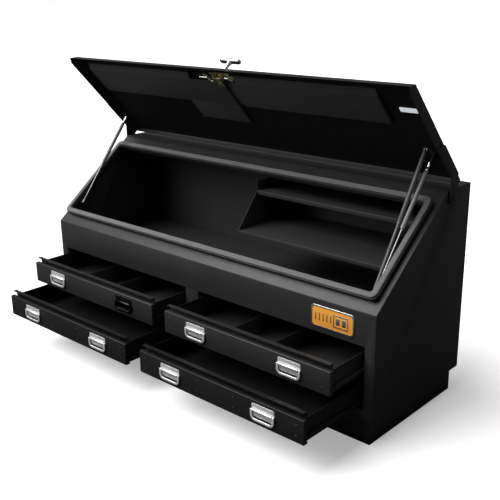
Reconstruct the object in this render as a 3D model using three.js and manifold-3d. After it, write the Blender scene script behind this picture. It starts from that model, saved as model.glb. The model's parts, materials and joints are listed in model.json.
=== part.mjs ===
// Slant-front steel tool box on a plinth: a lift-up lid over one large compartment, four drawers below.
// Millimetres. +X to the right, +Y to the rear, +Z up.
// The origin lies on the ground, under the middle of the plinth.
import * as THREE from 'three';
import { mergeVertices } from 'three/addons/utils/BufferGeometryUtils.js';
import Module from 'manifold-3d';

// ---------------------------------------------------------------- driving dimensions

// cabinet
const WIDTH = 1770;
const DEPTH = 600;
const HEIGHT = 850;
const FRONT_HEIGHT = 507; // top of the upright front, where the slope starts
const LEDGE_DEPTH = 165; // flat top behind the slope
const SHEET = 2; // cabinet steel
const THIN_SHEET = 1.5; // drawer and trim steel
const GAP = 0.3; // between pieces that are bolted or welded together
const PLINTH_HEIGHT = 100;
const PLINTH_INSET = 20;
const PLINTH_FOOT = 40; // inward flange on the ground
const CROSS_MEMBER = 80; // width of the plinth's middle cross member
const LEDGE_OVERHANG = 8; // drip edge over the slope

// drawer bays
const BAY_BOTTOM = 142;
const BAY_TOP = 382;
const STILE = 41; // fascia between the bay and the cabinet side
const POST = 72; // fascia between the two bays
const DECK_ABOVE_BAY = 12;

// slope opening, measured along the slope from the front corner
const RIM_FRONT = 42;
const RIM_BELOW_TOP = 60; // rim's rear edge to the slope's top corner
const RIM_WIDTH = 26;
const RIM_HEIGHT = 24;
const RIM_LIP = 9; // down-turned outer edge of the rim
const RIM_SIDE = 19; // from the cabinet side to the rim
const RIM_CORNER = 24;
const SEAL_WIDTH = 22;
const SEAL_HEIGHT = 9.5;
const SEAL_EDGE = 3; // rounded edge of the foam

// lid, in the slope's own directions: along it and square to it
const LID_FRONT = 19;
const LID_BELOW_TOP = 5; // lid's rear edge to the slope's top corner
const SEAL_CLEARANCE = 2.2; // closed lid's skin to the foam, with room for the stiffener's flat end
const LID_OVERHANG = 4; // past each cabinet side
const LID_FRONT_FLANGE = 30;
const LID_SIDE_FLANGE = 42;
const LID_REAR_FLANGE = 20;
const LID_OPEN_ANGLE = THREE.MathUtils.degToRad(85.5);
const HINGE_FROM_REAR = 140;
const HINGE_BELOW_TOP = 30;
const ARM_WIDTH = 50;
const ARM_THICKNESS = 4.5;
const ARM_ON_FLANGE = 160; // length fastened to the lid's side flange
const BOLT_RADIUS = 6;
const BOLT_CLEARANCE = 0.3;
const BOLT_HEAD_RADIUS = 11;
const BOLT_HEAD = 6;

// lid stiffener
const STIFFENER_FRONT = 91; // from the lid's front edge to the fold
const STIFFENER_REAR = 209;
const STIFFENER_BEVEL = 31;
const STIFFENER_DEPTH = 10;
const STIFFENER_LEFT_MARGIN = 21; // to the lid's edge
const STIFFENER_RIGHT_MARGIN = 167;
const STIFFENER_SPLIT = 36; // right part starts here, the left part ends on the centre line
const STIFFENER_LEG_WIDTH = 281;
const STIFFENER_LEG_END = 340;
const LATCH_CUTOUT_LEFT = 183;
const LATCH_CUTOUT_RIGHT = 68;

// latch
const LATCH_FROM_EDGE = 67; // spindle from the lid's front edge
const SPINDLE_RADIUS = 5;
const SPINDLE_CLEARANCE = 0.4;
const T_LENGTH = 108;
const T_WIDTH = 28;
const T_THICKNESS = 14;
const T_STANDOFF = 68;
const T_FLAT = 1; // half the flat left at each rounded end
const CAM_RADIUS = 14;
const CAM_THICKNESS = 3;
const CRANK_RADIUS = 10;
const CRANK_PIN_RADIUS = 2.5;
const CRANK_CLEARANCE = 1.2;
const BOLT_BAR_WIDTH = 36;
const BOLT_BAR_THICKNESS = 5;
const BOLT_BAR_LENGTH = 46;
const BOLT_BAR_HEIGHT = 12; // underside above the slope when closed
const BOLT_BAR_RETREAT = 3; // tip to keeper with the bolt drawn back
const BOLT_BAR_CLEARANCE = 1;
const LATCH_PLATE_LENGTH = 38;
const LATCH_PLATE_MARGIN = 34;
const KEEPER_THICKNESS = 3;
const KEEPER_MARGIN = 8;

// gas struts, as points along and square to the slope with the lid closed
const STRUT_FROM_RIM = 10.5; // strut axis to the rim's inner face
const STRUT_FOOT_FROM_RIM = 57; // behind the opening's front edge
const STRUT_FOOT_UP = 0;
const STRUT_HEAD_FROM_RIM = 84; // in front of the rim's rear edge
const STRUT_HEAD_UP = -2;
const STRUT_RADIUS = 8;
const STRUT_ROD_RADIUS = 4;
const STRUT_RESERVE = 21; // bare rod with the lid closed
const STRUT_ENGAGED = 20;
const EYE_RADIUS = 7;
const EYE_RELIEF = 1; // each side of an eye, inside its member

// telescopic stay beside the right strut
const STAY_FROM_STRUT = 17;
const STAY_FOOT_FROM_RIM = 11;
const STAY_FOOT_UP = -30;
const STAY_HEAD_FROM_RIM = 120;
const STAY_HEAD_UP = 26;
const STAY_RADIUS = 8;
const STAY_TUBE_RADIUS = 6.5;
const STAY_RESERVE = 14;
const STAY_ENGAGED = 18;
const TELESCOPE_CLEARANCE = 0.4;
const TELESCOPE_END_SPACE = 5; // lower member's tip to the bore's end, lid closed

// shelves in the compartment's right half
const SHELF_PANEL_X = 40;
const SHELF_LIP = 18;
const LOWER_SHELF_DROP = 266; // below the cabinet's top
const UPPER_SHELF_DROP = 118;
const SHELF_PANEL_DROP = 77;
const SHELF_BELOW_SLOPE = 17; // side panel's top front corner to the slope, straight up
const LOWER_SHELF_REACH = 121; // lower shelf in front of the upper one

// drawers
const DRAWER_SPACE = 30; // front to the front above
const DRAWER_GAP = 4; // front to the sides of the bay
const DRAWER_BOTTOM_GAP = 6; // lower front above the bay's lower edge
const FRONT_TOP_FLANGE = 17;
const BOX_SETBACK = 26; // front face to the box's front wall
const BOX_REAR_SPACE = 34; // shut drawer's box to the cabinet's rear face
const BOX_LIFT = 3; // box bottom above the front's lower edge
const RUNNER_SPACE = 13; // bay side to box side
const LIP_RISE = 21.5; // dust lip above the front
const LIP_DEPTH = 20;
const RUNNER_HEIGHT = 10;
const RUNNER_RISE = 22; // runner's centre above the box bottom
const RUNNER_CLEARANCE = 2;
const RUNNER_END_SPACE = 4; // runner's edge to the channel's wall
const RUNNER_FLANGE = 10;
const DIVIDER_OFFSET = 100; // from the middle of the drawer
const DIVIDER_DROP = 10; // below the top of the drawer's sides
const DIVIDER_FOOT = 18;

// handles
const HANDLE_OFFSET = 227; // from the middle of the drawer
const HANDLE_ABOVE_MIDDLE = 3; // handle's middle above the front's middle
const PLATE_WIDTH = 100;
const PLATE_TOP = 31; // above the handle's middle
const PLATE_BOTTOM = 16; // below it
const PLATE_CORNER = 6;
const BARREL_RISE = 8;
const BARREL_RADIUS = 4.5;
const BARREL_BORE = 2.7;
const BARREL_LENGTH = 84;
const BAIL_WIDTH = 105;
const BAIL_BAR = 9;
const BAIL_THICKNESS = 5;
const BAIL_BOTTOM = 31; // below the handle's middle
const BAIL_CORNER = 20;
const BAIL_PIN_RADIUS = 2.3;
const BAIL_PIN_LENGTH = 8;

// roundness of the facets
const HEXAGON = 6;
const SMALL_ROUND = 12;
const ROUND = 20;
const ARC_COARSE = 5; // steps to a rounded corner
const ARC = 8;
const ARC_FINE = 12;
const SEAL_STEPS = 2; // steps to the foam's rounded edge
const CUT = 1; // how far a cutting body runs past the face it cuts

// how far each drawer stands open
const DRAWERS = [
  { name: 'top_left', side: -1, level: 1, open: 183, divided: true, darkHandle: 2 },
  { name: 'top_right', side: 1, level: 1, open: 188, divided: true },
  { name: 'bottom_left', side: -1, level: 0, open: 326, divided: false },
  { name: 'bottom_right', side: 1, level: 0, open: 323, divided: false },
];

// ---------------------------------------------------------------- derived dimensions

const HALF = WIDTH / 2;
const INNER_HALF = HALF - SHEET - GAP;
const FRONT = -DEPTH / 2;
const REAR = DEPTH / 2;
const INNER_FRONT = FRONT + SHEET + GAP;
const INNER_REAR = REAR - SHEET - GAP;
const LEDGE_FRONT = REAR - LEDGE_DEPTH;
const SLOPE_RUN = DEPTH - LEDGE_DEPTH;
const SLOPE_RISE = HEIGHT - FRONT_HEIGHT;
const SLOPE = Math.atan2(SLOPE_RISE, SLOPE_RUN);
const SLOPE_LENGTH = Math.hypot(SLOPE_RISE, SLOPE_RUN);
const FLOOR_TOP = PLINTH_HEIGHT + GAP + SHEET;
const DECK_BOTTOM = BAY_TOP + DECK_ABOVE_BAY;
const DECK_TOP = DECK_BOTTOM + SHEET;

const RIM_REAR = SLOPE_LENGTH - RIM_BELOW_TOP;
const RIM_OUTER_HALF = HALF - RIM_SIDE;
const RIM_INNER_HALF = RIM_OUTER_HALF - RIM_WIDTH;
const RIM_INNER_FRONT = RIM_FRONT + RIM_WIDTH;
const RIM_INNER_REAR = RIM_REAR - RIM_WIDTH;
const RIM_MIDDLE = (RIM_FRONT + RIM_REAR) / 2;

const HINGE = alongSlope(REAR - HINGE_FROM_REAR, HEIGHT - HINGE_BELOW_TOP);
const LID_HALF = HALF + LID_OVERHANG;
const LID_REAR = SLOPE_LENGTH - LID_BELOW_TOP;
const LID_TOP = RIM_HEIGHT + GAP + SEAL_HEIGHT + SEAL_CLEARANCE + SHEET; // outer face above the slope
const LID_INSIDE = LID_TOP - SHEET;

const STRUT_X = RIM_INNER_HALF - STRUT_FROM_RIM;
const STAY_X = STRUT_X - STAY_FROM_STRUT;
const STRUT_FOOT = { along: RIM_INNER_FRONT + STRUT_FOOT_FROM_RIM, up: STRUT_FOOT_UP };
const STRUT_HEAD = { along: RIM_REAR - STRUT_HEAD_FROM_RIM, up: STRUT_HEAD_UP };
const STAY_FOOT = { along: RIM_INNER_FRONT + STAY_FOOT_FROM_RIM, up: STAY_FOOT_UP };
const STAY_HEAD = { along: RIM_REAR - STAY_HEAD_FROM_RIM, up: STAY_HEAD_UP };

const LOWER_SHELF_TOP = HEIGHT - LOWER_SHELF_DROP;
const UPPER_SHELF_TOP = HEIGHT - UPPER_SHELF_DROP;
const SHELF_PANEL_TOP = HEIGHT - SHELF_PANEL_DROP;
const UPPER_SHELF_FRONT = FRONT + (SHELF_PANEL_TOP + SHELF_BELOW_SLOPE - FRONT_HEIGHT) / Math.tan(SLOPE);
const LOWER_SHELF_FRONT = UPPER_SHELF_FRONT - LOWER_SHELF_REACH;

const BAY_INNER = POST / 2;
const BAY_OUTER = HALF - STILE;
const BAY_MIDDLE = (BAY_INNER + BAY_OUTER) / 2;
const BAY_HALF = (BAY_OUTER - BAY_INNER) / 2;
const FRONT_HALF = BAY_HALF - DRAWER_GAP;
const BOX_HALF = BAY_HALF - RUNNER_SPACE;
const BOX_DEPTH = DEPTH - BOX_SETBACK - BOX_REAR_SPACE;
const RUNNER_REACH = RUNNER_SPACE - RUNNER_END_SPACE;
const DRAWER_PITCH = (BAY_TOP - BAY_BOTTOM) / 2;
const DRAWER_FRONT_HEIGHT = DRAWER_PITCH - DRAWER_SPACE;
const BOX_HEIGHT = DRAWER_FRONT_HEIGHT - BOX_LIFT;
const HANDLE_RISE = DRAWER_FRONT_HEIGHT / 2 + HANDLE_ABOVE_MIDDLE;

/** A point of the YZ plane as its distance along the slope and its height square to it. */
function alongSlope(y, z) {
  const run = y - FRONT;
  const rise = z - FRONT_HEIGHT;
  return {
    along: run * Math.cos(SLOPE) + rise * Math.sin(SLOPE),
    up: rise * Math.cos(SLOPE) - run * Math.sin(SLOPE),
  };
}

/** Where a point of the closed lid lies after the lid has opened. */
function opened(point) {
  const along = point.along - HINGE.along;
  const up = point.up - HINGE.up;
  const cos = Math.cos(LID_OPEN_ANGLE);
  const sin = Math.sin(LID_OPEN_ANGLE);
  return {
    along: HINGE.along + along * cos + up * sin,
    up: HINGE.up + up * cos - along * sin,
  };
}

// ---------------------------------------------------------------- materials

function finish(color, roughness, metalness) {
  return new THREE.MeshStandardMaterial({ color, roughness, metalness });
}

const BLACK_COAT = () => finish(0x17181a, 0.55, 0.3);
const DRAWER_COAT = () => finish(0x121315, 0.5, 0.3);
const CHROME = () => finish(0xd8dadc, 0.2, 1);
const DARK_CHROME = () => finish(0x1a1a1c, 0.35, 0.8);
const ZINC = () => finish(0xb9ab7c, 0.35, 0.9);
const FOAM = () => finish(0x55565a, 0.95, 0);
const STAY_PAINT = () => finish(0x3c3d40, 0.5, 0.5);

// ---------------------------------------------------------------- solids

const wasm = await Module();
wasm.setup();

function solid(geometry) {
  geometry.deleteAttribute('normal');
  geometry.deleteAttribute('uv');
  const merged = mergeVertices(geometry, 1e-4);
  return new wasm.Manifold(new wasm.Mesh({
    numProp: 3,
    vertProperties: new Float32Array(merged.attributes.position.array),
    triVerts: new Uint32Array(merged.index.array),
  }));
}

function geometryOf(body) {
  const mesh = body.getMesh();
  const geometry = new THREE.BufferGeometry();
  geometry.setAttribute('position', new THREE.BufferAttribute(mesh.vertProperties, 3));
  geometry.setIndex(new THREE.BufferAttribute(mesh.triVerts, 1));
  geometry.computeVertexNormals();
  return geometry;
}

/** A rectangular block between two corners, which it meets exactly, so blocks that share a face join. */
function block([x0, x1], [y0, y1], [z0, z1]) {
  const geometry = new THREE.BoxGeometry();
  const corners = geometry.attributes.position;
  for (let i = 0; i < corners.count; i += 1) {
    const x = corners.getX(i) < 0 ? x0 : x1;
    const y = corners.getY(i) < 0 ? y0 : y1;
    const z = corners.getZ(i) < 0 ? z0 : z1;
    corners.setXYZ(i, x, y, z);
  }
  return solid(geometry);
}

/** A round bar along one axis, from one distance to another, through a centre in the other two. */
function rod(axis, radius, [from, to], [a, b], segments = ROUND) {
  const geometry = new THREE.CylinderGeometry(radius, radius, to - from, segments);
  geometry.translate(0, (from + to) / 2, 0);
  if (axis === 'x') {
    geometry.rotateZ(-Math.PI / 2);
    geometry.translate(0, a, b);
  } else if (axis === 'y') {
    geometry.translate(a, 0, b);
  } else {
    geometry.rotateX(Math.PI / 2);
    geometry.translate(a, b, 0);
  }
  return solid(geometry);
}

function extruded(shape, depth, curveSegments) {
  return new THREE.ExtrudeGeometry(shape, { depth, bevelEnabled: false, curveSegments });
}

/** An outline in Y and Z, given a thickness along X. */
function sidePlate(shape, [x0, x1]) {
  const geometry = extruded(shape, x1 - x0, ARC_FINE);
  const turn = new THREE.Matrix4().makeBasis(
    new THREE.Vector3(0, 1, 0),
    new THREE.Vector3(0, 0, 1),
    new THREE.Vector3(1, 0, 0),
  );
  geometry.applyMatrix4(turn);
  geometry.translate(x0, 0, 0);
  return solid(geometry);
}

/** An outline in X and Y, given a thickness along Z. */
function flatPlate(shape, [z0, z1]) {
  const geometry = extruded(shape, z1 - z0, ARC);
  geometry.translate(0, 0, z0);
  return solid(geometry);
}

/** An outline in X and Z, given a thickness along Y. */
function uprightPlate(shape, [y0, y1]) {
  const geometry = extruded(shape, y1 - y0, ARC_COARSE);
  geometry.rotateX(Math.PI / 2);
  geometry.translate(0, y1, 0);
  return solid(geometry);
}

function polygon(points) {
  return new THREE.Shape(points.map(([a, b]) => new THREE.Vector2(a, b)));
}

function roundedRectangle(Path, halfWidth, y0, y1, radius) {
  const path = new Path();
  path.moveTo(-halfWidth + radius, y0);
  path.lineTo(halfWidth - radius, y0);
  path.absarc(halfWidth - radius, y0 + radius, radius, -Math.PI / 2, 0);
  path.lineTo(halfWidth, y1 - radius);
  path.absarc(halfWidth - radius, y1 - radius, radius, 0, Math.PI / 2);
  path.lineTo(-halfWidth + radius, y1);
  path.absarc(-halfWidth + radius, y1 - radius, radius, Math.PI / 2, Math.PI);
  path.lineTo(-halfWidth, y0 + radius);
  path.absarc(-halfWidth + radius, y0 + radius, radius, Math.PI, Math.PI * 1.5);
  return path;
}

/** A rectangular ring around the slope's opening, set in from the rim's outer edge. */
function rimRing(outset, inset) {
  const outer = roundedRectangle(
    THREE.Shape, RIM_OUTER_HALF - outset, RIM_FRONT + outset, RIM_REAR - outset, RIM_CORNER - outset / 2);
  outer.holes.push(roundedRectangle(
    THREE.Path, RIM_OUTER_HALF - inset, RIM_FRONT + inset, RIM_REAR - inset, RIM_CORNER - inset / 2));
  return outer;
}

function join(parts) {
  return parts.reduce((whole, part) => whole.add(part));
}

function part(name, body, material) {
  const mesh = new THREE.Mesh(geometryOf(body), material);
  mesh.name = name;
  return mesh;
}

const span = (middle, size) => [middle - size / 2, middle + size / 2];
const mirrored = (side, [from, to]) => (side > 0 ? [from, to] : [-to, -from]);

// ---------------------------------------------------------------- cabinet

function cabinetSide(side) {
  const outline = polygon([
    [FRONT, PLINTH_HEIGHT + GAP],
    [REAR, PLINTH_HEIGHT + GAP],
    [REAR, HEIGHT],
    [LEDGE_FRONT, HEIGHT],
    [FRONT, FRONT_HEIGHT],
  ]);
  const hole = rod('x', BOLT_RADIUS + BOLT_CLEARANCE, mirrored(side, [HALF - SHEET - CUT, HALF + CUT]),
    [REAR - HINGE_FROM_REAR, HEIGHT - HINGE_BELOW_TOP]);
  return sidePlate(outline, mirrored(side, [HALF - SHEET, HALF])).subtract(hole);
}

function frontFascia() {
  const plate = block([-INNER_HALF, INNER_HALF], [FRONT, FRONT + SHEET],
    [PLINTH_HEIGHT + GAP, FRONT_HEIGHT - SHEET * Math.cos(SLOPE) - GAP]);
  const bays = [-1, 1].map((side) => block(
    mirrored(side, [BAY_INNER, BAY_OUTER]),
    [FRONT - CUT, FRONT + SHEET + CUT],
    [BAY_BOTTOM, BAY_TOP],
  ));
  return bays.reduce((body, bay) => body.subtract(bay), plate);
}

function slantFrame() {
  const underLedge = SLOPE_LENGTH - (SHEET + GAP) / Math.sin(SLOPE);
  const plate = roundedRectangle(THREE.Shape, INNER_HALF, GAP, underLedge, GAP);
  plate.holes.push(roundedRectangle(
    THREE.Path, RIM_INNER_HALF, RIM_INNER_FRONT, RIM_INNER_REAR, RIM_CORNER - RIM_WIDTH / 2));
  const body = join([
    flatPlate(plate, [-SHEET, 0]),
    flatPlate(rimRing(RIM_WIDTH - SHEET, RIM_WIDTH), [-SHEET, RIM_HEIGHT]),
    flatPlate(rimRing(0, RIM_WIDTH), [RIM_HEIGHT - SHEET, RIM_HEIGHT]),
    flatPlate(rimRing(0, SHEET), [RIM_HEIGHT - RIM_LIP, RIM_HEIGHT]),
  ]);
  return body.subtract(latchSlot([RIM_INNER_FRONT - SHEET - CUT, RIM_INNER_FRONT + CUT]));
}

/** The slot that the latch bolt enters, cut over a distance along the slope. */
function latchSlot(along) {
  return block(
    span(0, BOLT_BAR_WIDTH + 2 * BOLT_BAR_CLEARANCE),
    along,
    [BOLT_BAR_HEIGHT - BOLT_BAR_CLEARANCE, BOLT_BAR_HEIGHT + BOLT_BAR_THICKNESS + BOLT_BAR_CLEARANCE],
  );
}

function topLedge() {
  return block([-INNER_HALF, INNER_HALF], [LEDGE_FRONT - LEDGE_OVERHANG, REAR - SHEET - GAP],
    [HEIGHT - SHEET, HEIGHT]);
}

function weatherSeal() {
  const margin = (RIM_WIDTH - SEAL_WIDTH) / 2 + SEAL_EDGE;
  const geometry = new THREE.ExtrudeGeometry(rimRing(margin, RIM_WIDTH - margin), {
    depth: SEAL_HEIGHT - 2 * SEAL_EDGE,
    bevelEnabled: true,
    bevelThickness: SEAL_EDGE,
    bevelSize: SEAL_EDGE,
    bevelSegments: SEAL_STEPS,
    curveSegments: ARC_COARSE,
  });
  geometry.translate(0, 0, RIM_HEIGHT + GAP + SEAL_EDGE);
  return solid(geometry);
}

function plinth() {
  const halfWidth = HALF - PLINTH_INSET;
  const halfDepth = DEPTH / 2 - PLINTH_INSET;
  const outer = block([-halfWidth, halfWidth], [-halfDepth, halfDepth], [0, PLINTH_HEIGHT]);
  const hollow = block(
    [-halfWidth + SHEET, halfWidth - SHEET],
    [-halfDepth + SHEET, halfDepth - SHEET],
    [SHEET, PLINTH_HEIGHT + CUT],
  );
  const openings = [-1, 1].map((side) => block(
    mirrored(side, [CROSS_MEMBER / 2, halfWidth - PLINTH_FOOT]),
    [-halfDepth + PLINTH_FOOT, halfDepth - PLINTH_FOOT],
    [-CUT, SHEET + CUT],
  ));
  return openings.reduce((body, opening) => body.subtract(opening), outer.subtract(hollow));
}

/** The runner channels for both drawers of a bay, on the face at x, behind the shut drawers' fronts. */
function runnerChannels(x, towards) {
  const along = [FRONT + BOX_SETBACK, INNER_REAR];
  const reach = mirrored(towards, [towards * x - SHEET / 2, towards * x + RUNNER_FLANGE]);
  const flanges = [];
  for (const level of [0, 1]) {
    const middle = runnerMiddle(level);
    const space = RUNNER_HEIGHT / 2 + RUNNER_CLEARANCE;
    flanges.push(block(reach, along, [middle - space - SHEET, middle - space]));
    flanges.push(block(reach, along, [middle + space, middle + space + SHEET]));
  }
  return flanges;
}

function runnerMiddle(level) {
  return drawerBottom(level) + BOX_LIFT + RUNNER_RISE;
}

function drawerBottom(level) {
  return BAY_BOTTOM + DRAWER_BOTTOM_GAP + level * DRAWER_PITCH;
}

function bayPartition() {
  const walls = [-1, 1].map((side) => block(
    mirrored(side, [BAY_INNER - SHEET, BAY_INNER]), [INNER_FRONT, INNER_REAR],
    [FLOOR_TOP + GAP, DECK_BOTTOM - GAP]));
  const web = block([-BAY_INNER, BAY_INNER], [INNER_REAR - SHEET, INNER_REAR],
    [FLOOR_TOP + GAP, DECK_BOTTOM - GAP]);
  return join([...walls, web, ...runnerChannels(BAY_INNER, 1), ...runnerChannels(-BAY_INNER, -1)]);
}

function runnerLiner(side) {
  const face = BAY_OUTER + GAP;
  const wall = block(mirrored(side, [face, face + SHEET]), [INNER_FRONT, INNER_REAR],
    [FLOOR_TOP + GAP, DECK_BOTTOM - GAP]);
  return join([wall, ...runnerChannels(side * face, -side)]);
}

function levelSheet(z0) {
  return block([-INNER_HALF, INNER_HALF], [INNER_FRONT, INNER_REAR], [z0, z0 + SHEET]);
}

function backPanel() {
  return block([-INNER_HALF, INNER_HALF], [REAR - SHEET, REAR], [PLINTH_HEIGHT + GAP, HEIGHT]);
}

// ---------------------------------------------------------------- shelves

function shelfSidePanel() {
  const outline = polygon([
    [LOWER_SHELF_FRONT, LOWER_SHELF_TOP - SHELF_LIP],
    [INNER_REAR, LOWER_SHELF_TOP - SHELF_LIP],
    [INNER_REAR, SHELF_PANEL_TOP],
    [UPPER_SHELF_FRONT, SHELF_PANEL_TOP],
    [UPPER_SHELF_FRONT, UPPER_SHELF_TOP],
    [LOWER_SHELF_FRONT, LOWER_SHELF_TOP],
  ]);
  return sidePlate(outline, [SHELF_PANEL_X, SHELF_PANEL_X + SHEET]);
}

function shelf(top, front) {
  const width = [SHELF_PANEL_X + SHEET + GAP, INNER_HALF];
  return join([
    block(width, [front, INNER_REAR], [top - SHEET, top]),
    block(width, [front, front + SHEET], [top - SHELF_LIP, top]),
  ]);
}

// ---------------------------------------------------------------- drawers

/** The folded tray. Its front wall carries a dust lip that is turned towards the front panel. */
function drawerBox() {
  const front = BOX_SETBACK;
  const rear = BOX_SETBACK + BOX_DEPTH;
  const bottom = BOX_LIFT;
  const top = BOX_LIFT + BOX_HEIGHT;
  const lipTop = DRAWER_FRONT_HEIGHT + LIP_RISE;
  const runner = bottom + RUNNER_RISE;
  const outer = block([-BOX_HALF, BOX_HALF], [front, rear], [bottom, top]);
  const hollow = block(
    [-BOX_HALF + THIN_SHEET, BOX_HALF - THIN_SHEET],
    [front + THIN_SHEET, rear - THIN_SHEET],
    [bottom + THIN_SHEET, top + CUT],
  );
  const wall = block([-BOX_HALF, BOX_HALF], [front, front + THIN_SHEET],
    [top - THIN_SHEET, lipTop]);
  const lip = block([-BOX_HALF, BOX_HALF], [front + THIN_SHEET - LIP_DEPTH, front + THIN_SHEET],
    [lipTop - THIN_SHEET, lipTop]);
  const runners = [-1, 1].map((side) => block(
    mirrored(side, [BOX_HALF - THIN_SHEET / 2, BOX_HALF + RUNNER_REACH]), [front, rear],
    [runner - RUNNER_HEIGHT / 2, runner + RUNNER_HEIGHT / 2]));
  return join([outer.subtract(hollow), wall, lip, ...runners]);
}

/** The front: a face with its four edges folded back towards the box. */
function drawerFront() {
  const depth = BOX_SETBACK - GAP;
  const top = DRAWER_FRONT_HEIGHT;
  return join([
    block([-FRONT_HALF, FRONT_HALF], [0, THIN_SHEET], [0, top]),
    block([-FRONT_HALF, FRONT_HALF], [0, FRONT_TOP_FLANGE], [top - THIN_SHEET, top]),
    block([-FRONT_HALF, FRONT_HALF], [0, depth], [0, THIN_SHEET]),
    block([-FRONT_HALF, -FRONT_HALF + THIN_SHEET], [0, FRONT_TOP_FLANGE], [0, top]),
    block([FRONT_HALF - THIN_SHEET, FRONT_HALF], [0, FRONT_TOP_FLANGE], [0, top]),
  ]);
}

function drawerDivider(side) {
  const bottom = BOX_LIFT + THIN_SHEET + GAP;
  const top = DRAWER_FRONT_HEIGHT - DIVIDER_DROP;
  const along = [BOX_SETBACK + THIN_SHEET + GAP, BOX_SETBACK + BOX_DEPTH - THIN_SHEET - GAP];
  const wall = block(mirrored(side, [DIVIDER_OFFSET - THIN_SHEET, DIVIDER_OFFSET]), along, [bottom, top]);
  const foot = block(mirrored(side, [DIVIDER_OFFSET - DIVIDER_FOOT, DIVIDER_OFFSET]), along,
    [bottom, bottom + THIN_SHEET]);
  return wall.add(foot);
}

/** The handle's plate, with the rolled barrel that the bail hangs from. */
function handlePlate() {
  const outline = roundedRectangle(THREE.Shape, PLATE_WIDTH / 2, -PLATE_BOTTOM, PLATE_TOP, PLATE_CORNER);
  const barrel = [-BARREL_LENGTH / 2, BARREL_LENGTH / 2];
  return uprightPlate(outline, [-GAP - SHEET, -GAP])
    .add(rod('x', BARREL_RADIUS, barrel, [barrelOffset(), BARREL_RISE]))
    .subtract(rod('x', BARREL_BORE, [barrel[0] - CUT, barrel[1] + CUT], [barrelOffset(), BARREL_RISE],
      SMALL_ROUND));
}

function barrelOffset() {
  return -GAP - SHEET - BARREL_RADIUS + THIN_SHEET / 2;
}

/** The bail about its own hinge line: two arms, the grip between them and a pin at each end. */
function handleBail() {
  const drop = BARREL_RISE + BAIL_BOTTOM;
  const top = BAIL_THICKNESS / 2;
  const above = BAIL_CORNER * 2;
  const inset = BAIL_WIDTH / 2 - BAIL_BAR;
  const outside = uprightPlate(
    roundedRectangle(THREE.Shape, BAIL_WIDTH / 2, -drop, above, BAIL_CORNER), span(0, BAIL_THICKNESS));
  const window = uprightPlate(
    roundedRectangle(THREE.Shape, inset, BAIL_BAR - drop, above, BAIL_CORNER - BAIL_BAR),
    span(0, BAIL_THICKNESS + 2 * CUT));
  const waste = block([-BAIL_WIDTH, BAIL_WIDTH], [-BAIL_WIDTH, BAIL_WIDTH], [top, above + CUT]);
  const pins = [-1, 1].map((side) =>
    rod('x', BAIL_PIN_RADIUS, mirrored(side, [inset - BAIL_PIN_LENGTH, inset + CUT]), [0, 0],
      SMALL_ROUND));
  return join([outside.subtract(window).subtract(waste), ...pins]);
}

function handle(name, dark) {
  const group = new THREE.Group();
  const bail = part(`handle_bail_${name}`, handleBail(), dark ? DARK_CHROME() : CHROME());
  bail.position.set(0, barrelOffset(), BARREL_RISE);
  group.add(part(`handle_plate_${name}`, handlePlate(), dark ? DARK_CHROME() : CHROME()), bail);
  return group;
}

function drawer({ name, side, level, open, divided, darkHandle }) {
  const group = new THREE.Group();
  group.add(part(`drawer_box_${name}`, drawerBox(), DRAWER_COAT()));
  group.add(part(`drawer_front_${name}`, drawerFront(), DRAWER_COAT()));
  if (divided) {
    group.add(part(`drawer_divider_${name}_1`, drawerDivider(-1), DRAWER_COAT()));
    group.add(part(`drawer_divider_${name}_2`, drawerDivider(1), DRAWER_COAT()));
  }
  for (const number of [1, 2]) {
    const fitted = handle(`${name}_${number}`, darkHandle === number);
    fitted.position.set(number === 1 ? -HANDLE_OFFSET : HANDLE_OFFSET, 0, HANDLE_RISE);
    group.add(fitted);
  }
  group.position.set(side * BAY_MIDDLE, FRONT - open, drawerBottom(level));
  return group;
}

// ---------------------------------------------------------------- lid

// Everything on the lid is laid out with the lid closed: Y along the slope, Z square to it.

function lidPanel() {
  const width = [-LID_HALF, LID_HALF];
  const along = [LID_FRONT, LID_REAR];
  const body = join([
    block(width, along, [LID_INSIDE, LID_TOP]),
    block(width, [LID_FRONT, LID_FRONT + SHEET], [LID_TOP - LID_FRONT_FLANGE, LID_TOP]),
    block(width, [LID_REAR - SHEET, LID_REAR], [LID_TOP - LID_REAR_FLANGE, LID_TOP]),
    ...[-1, 1].map((side) => block(
      mirrored(side, [LID_HALF - SHEET, LID_HALF]), along, [LID_TOP - LID_SIDE_FLANGE, LID_TOP])),
  ]);
  const spindleHole = rod('z', SPINDLE_RADIUS + SPINDLE_CLEARANCE, [LID_INSIDE - CUT, LID_TOP + CUT],
    [0, LID_FRONT + LATCH_FROM_EDGE]);
  return body.subtract(spindleHole);
}

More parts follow.
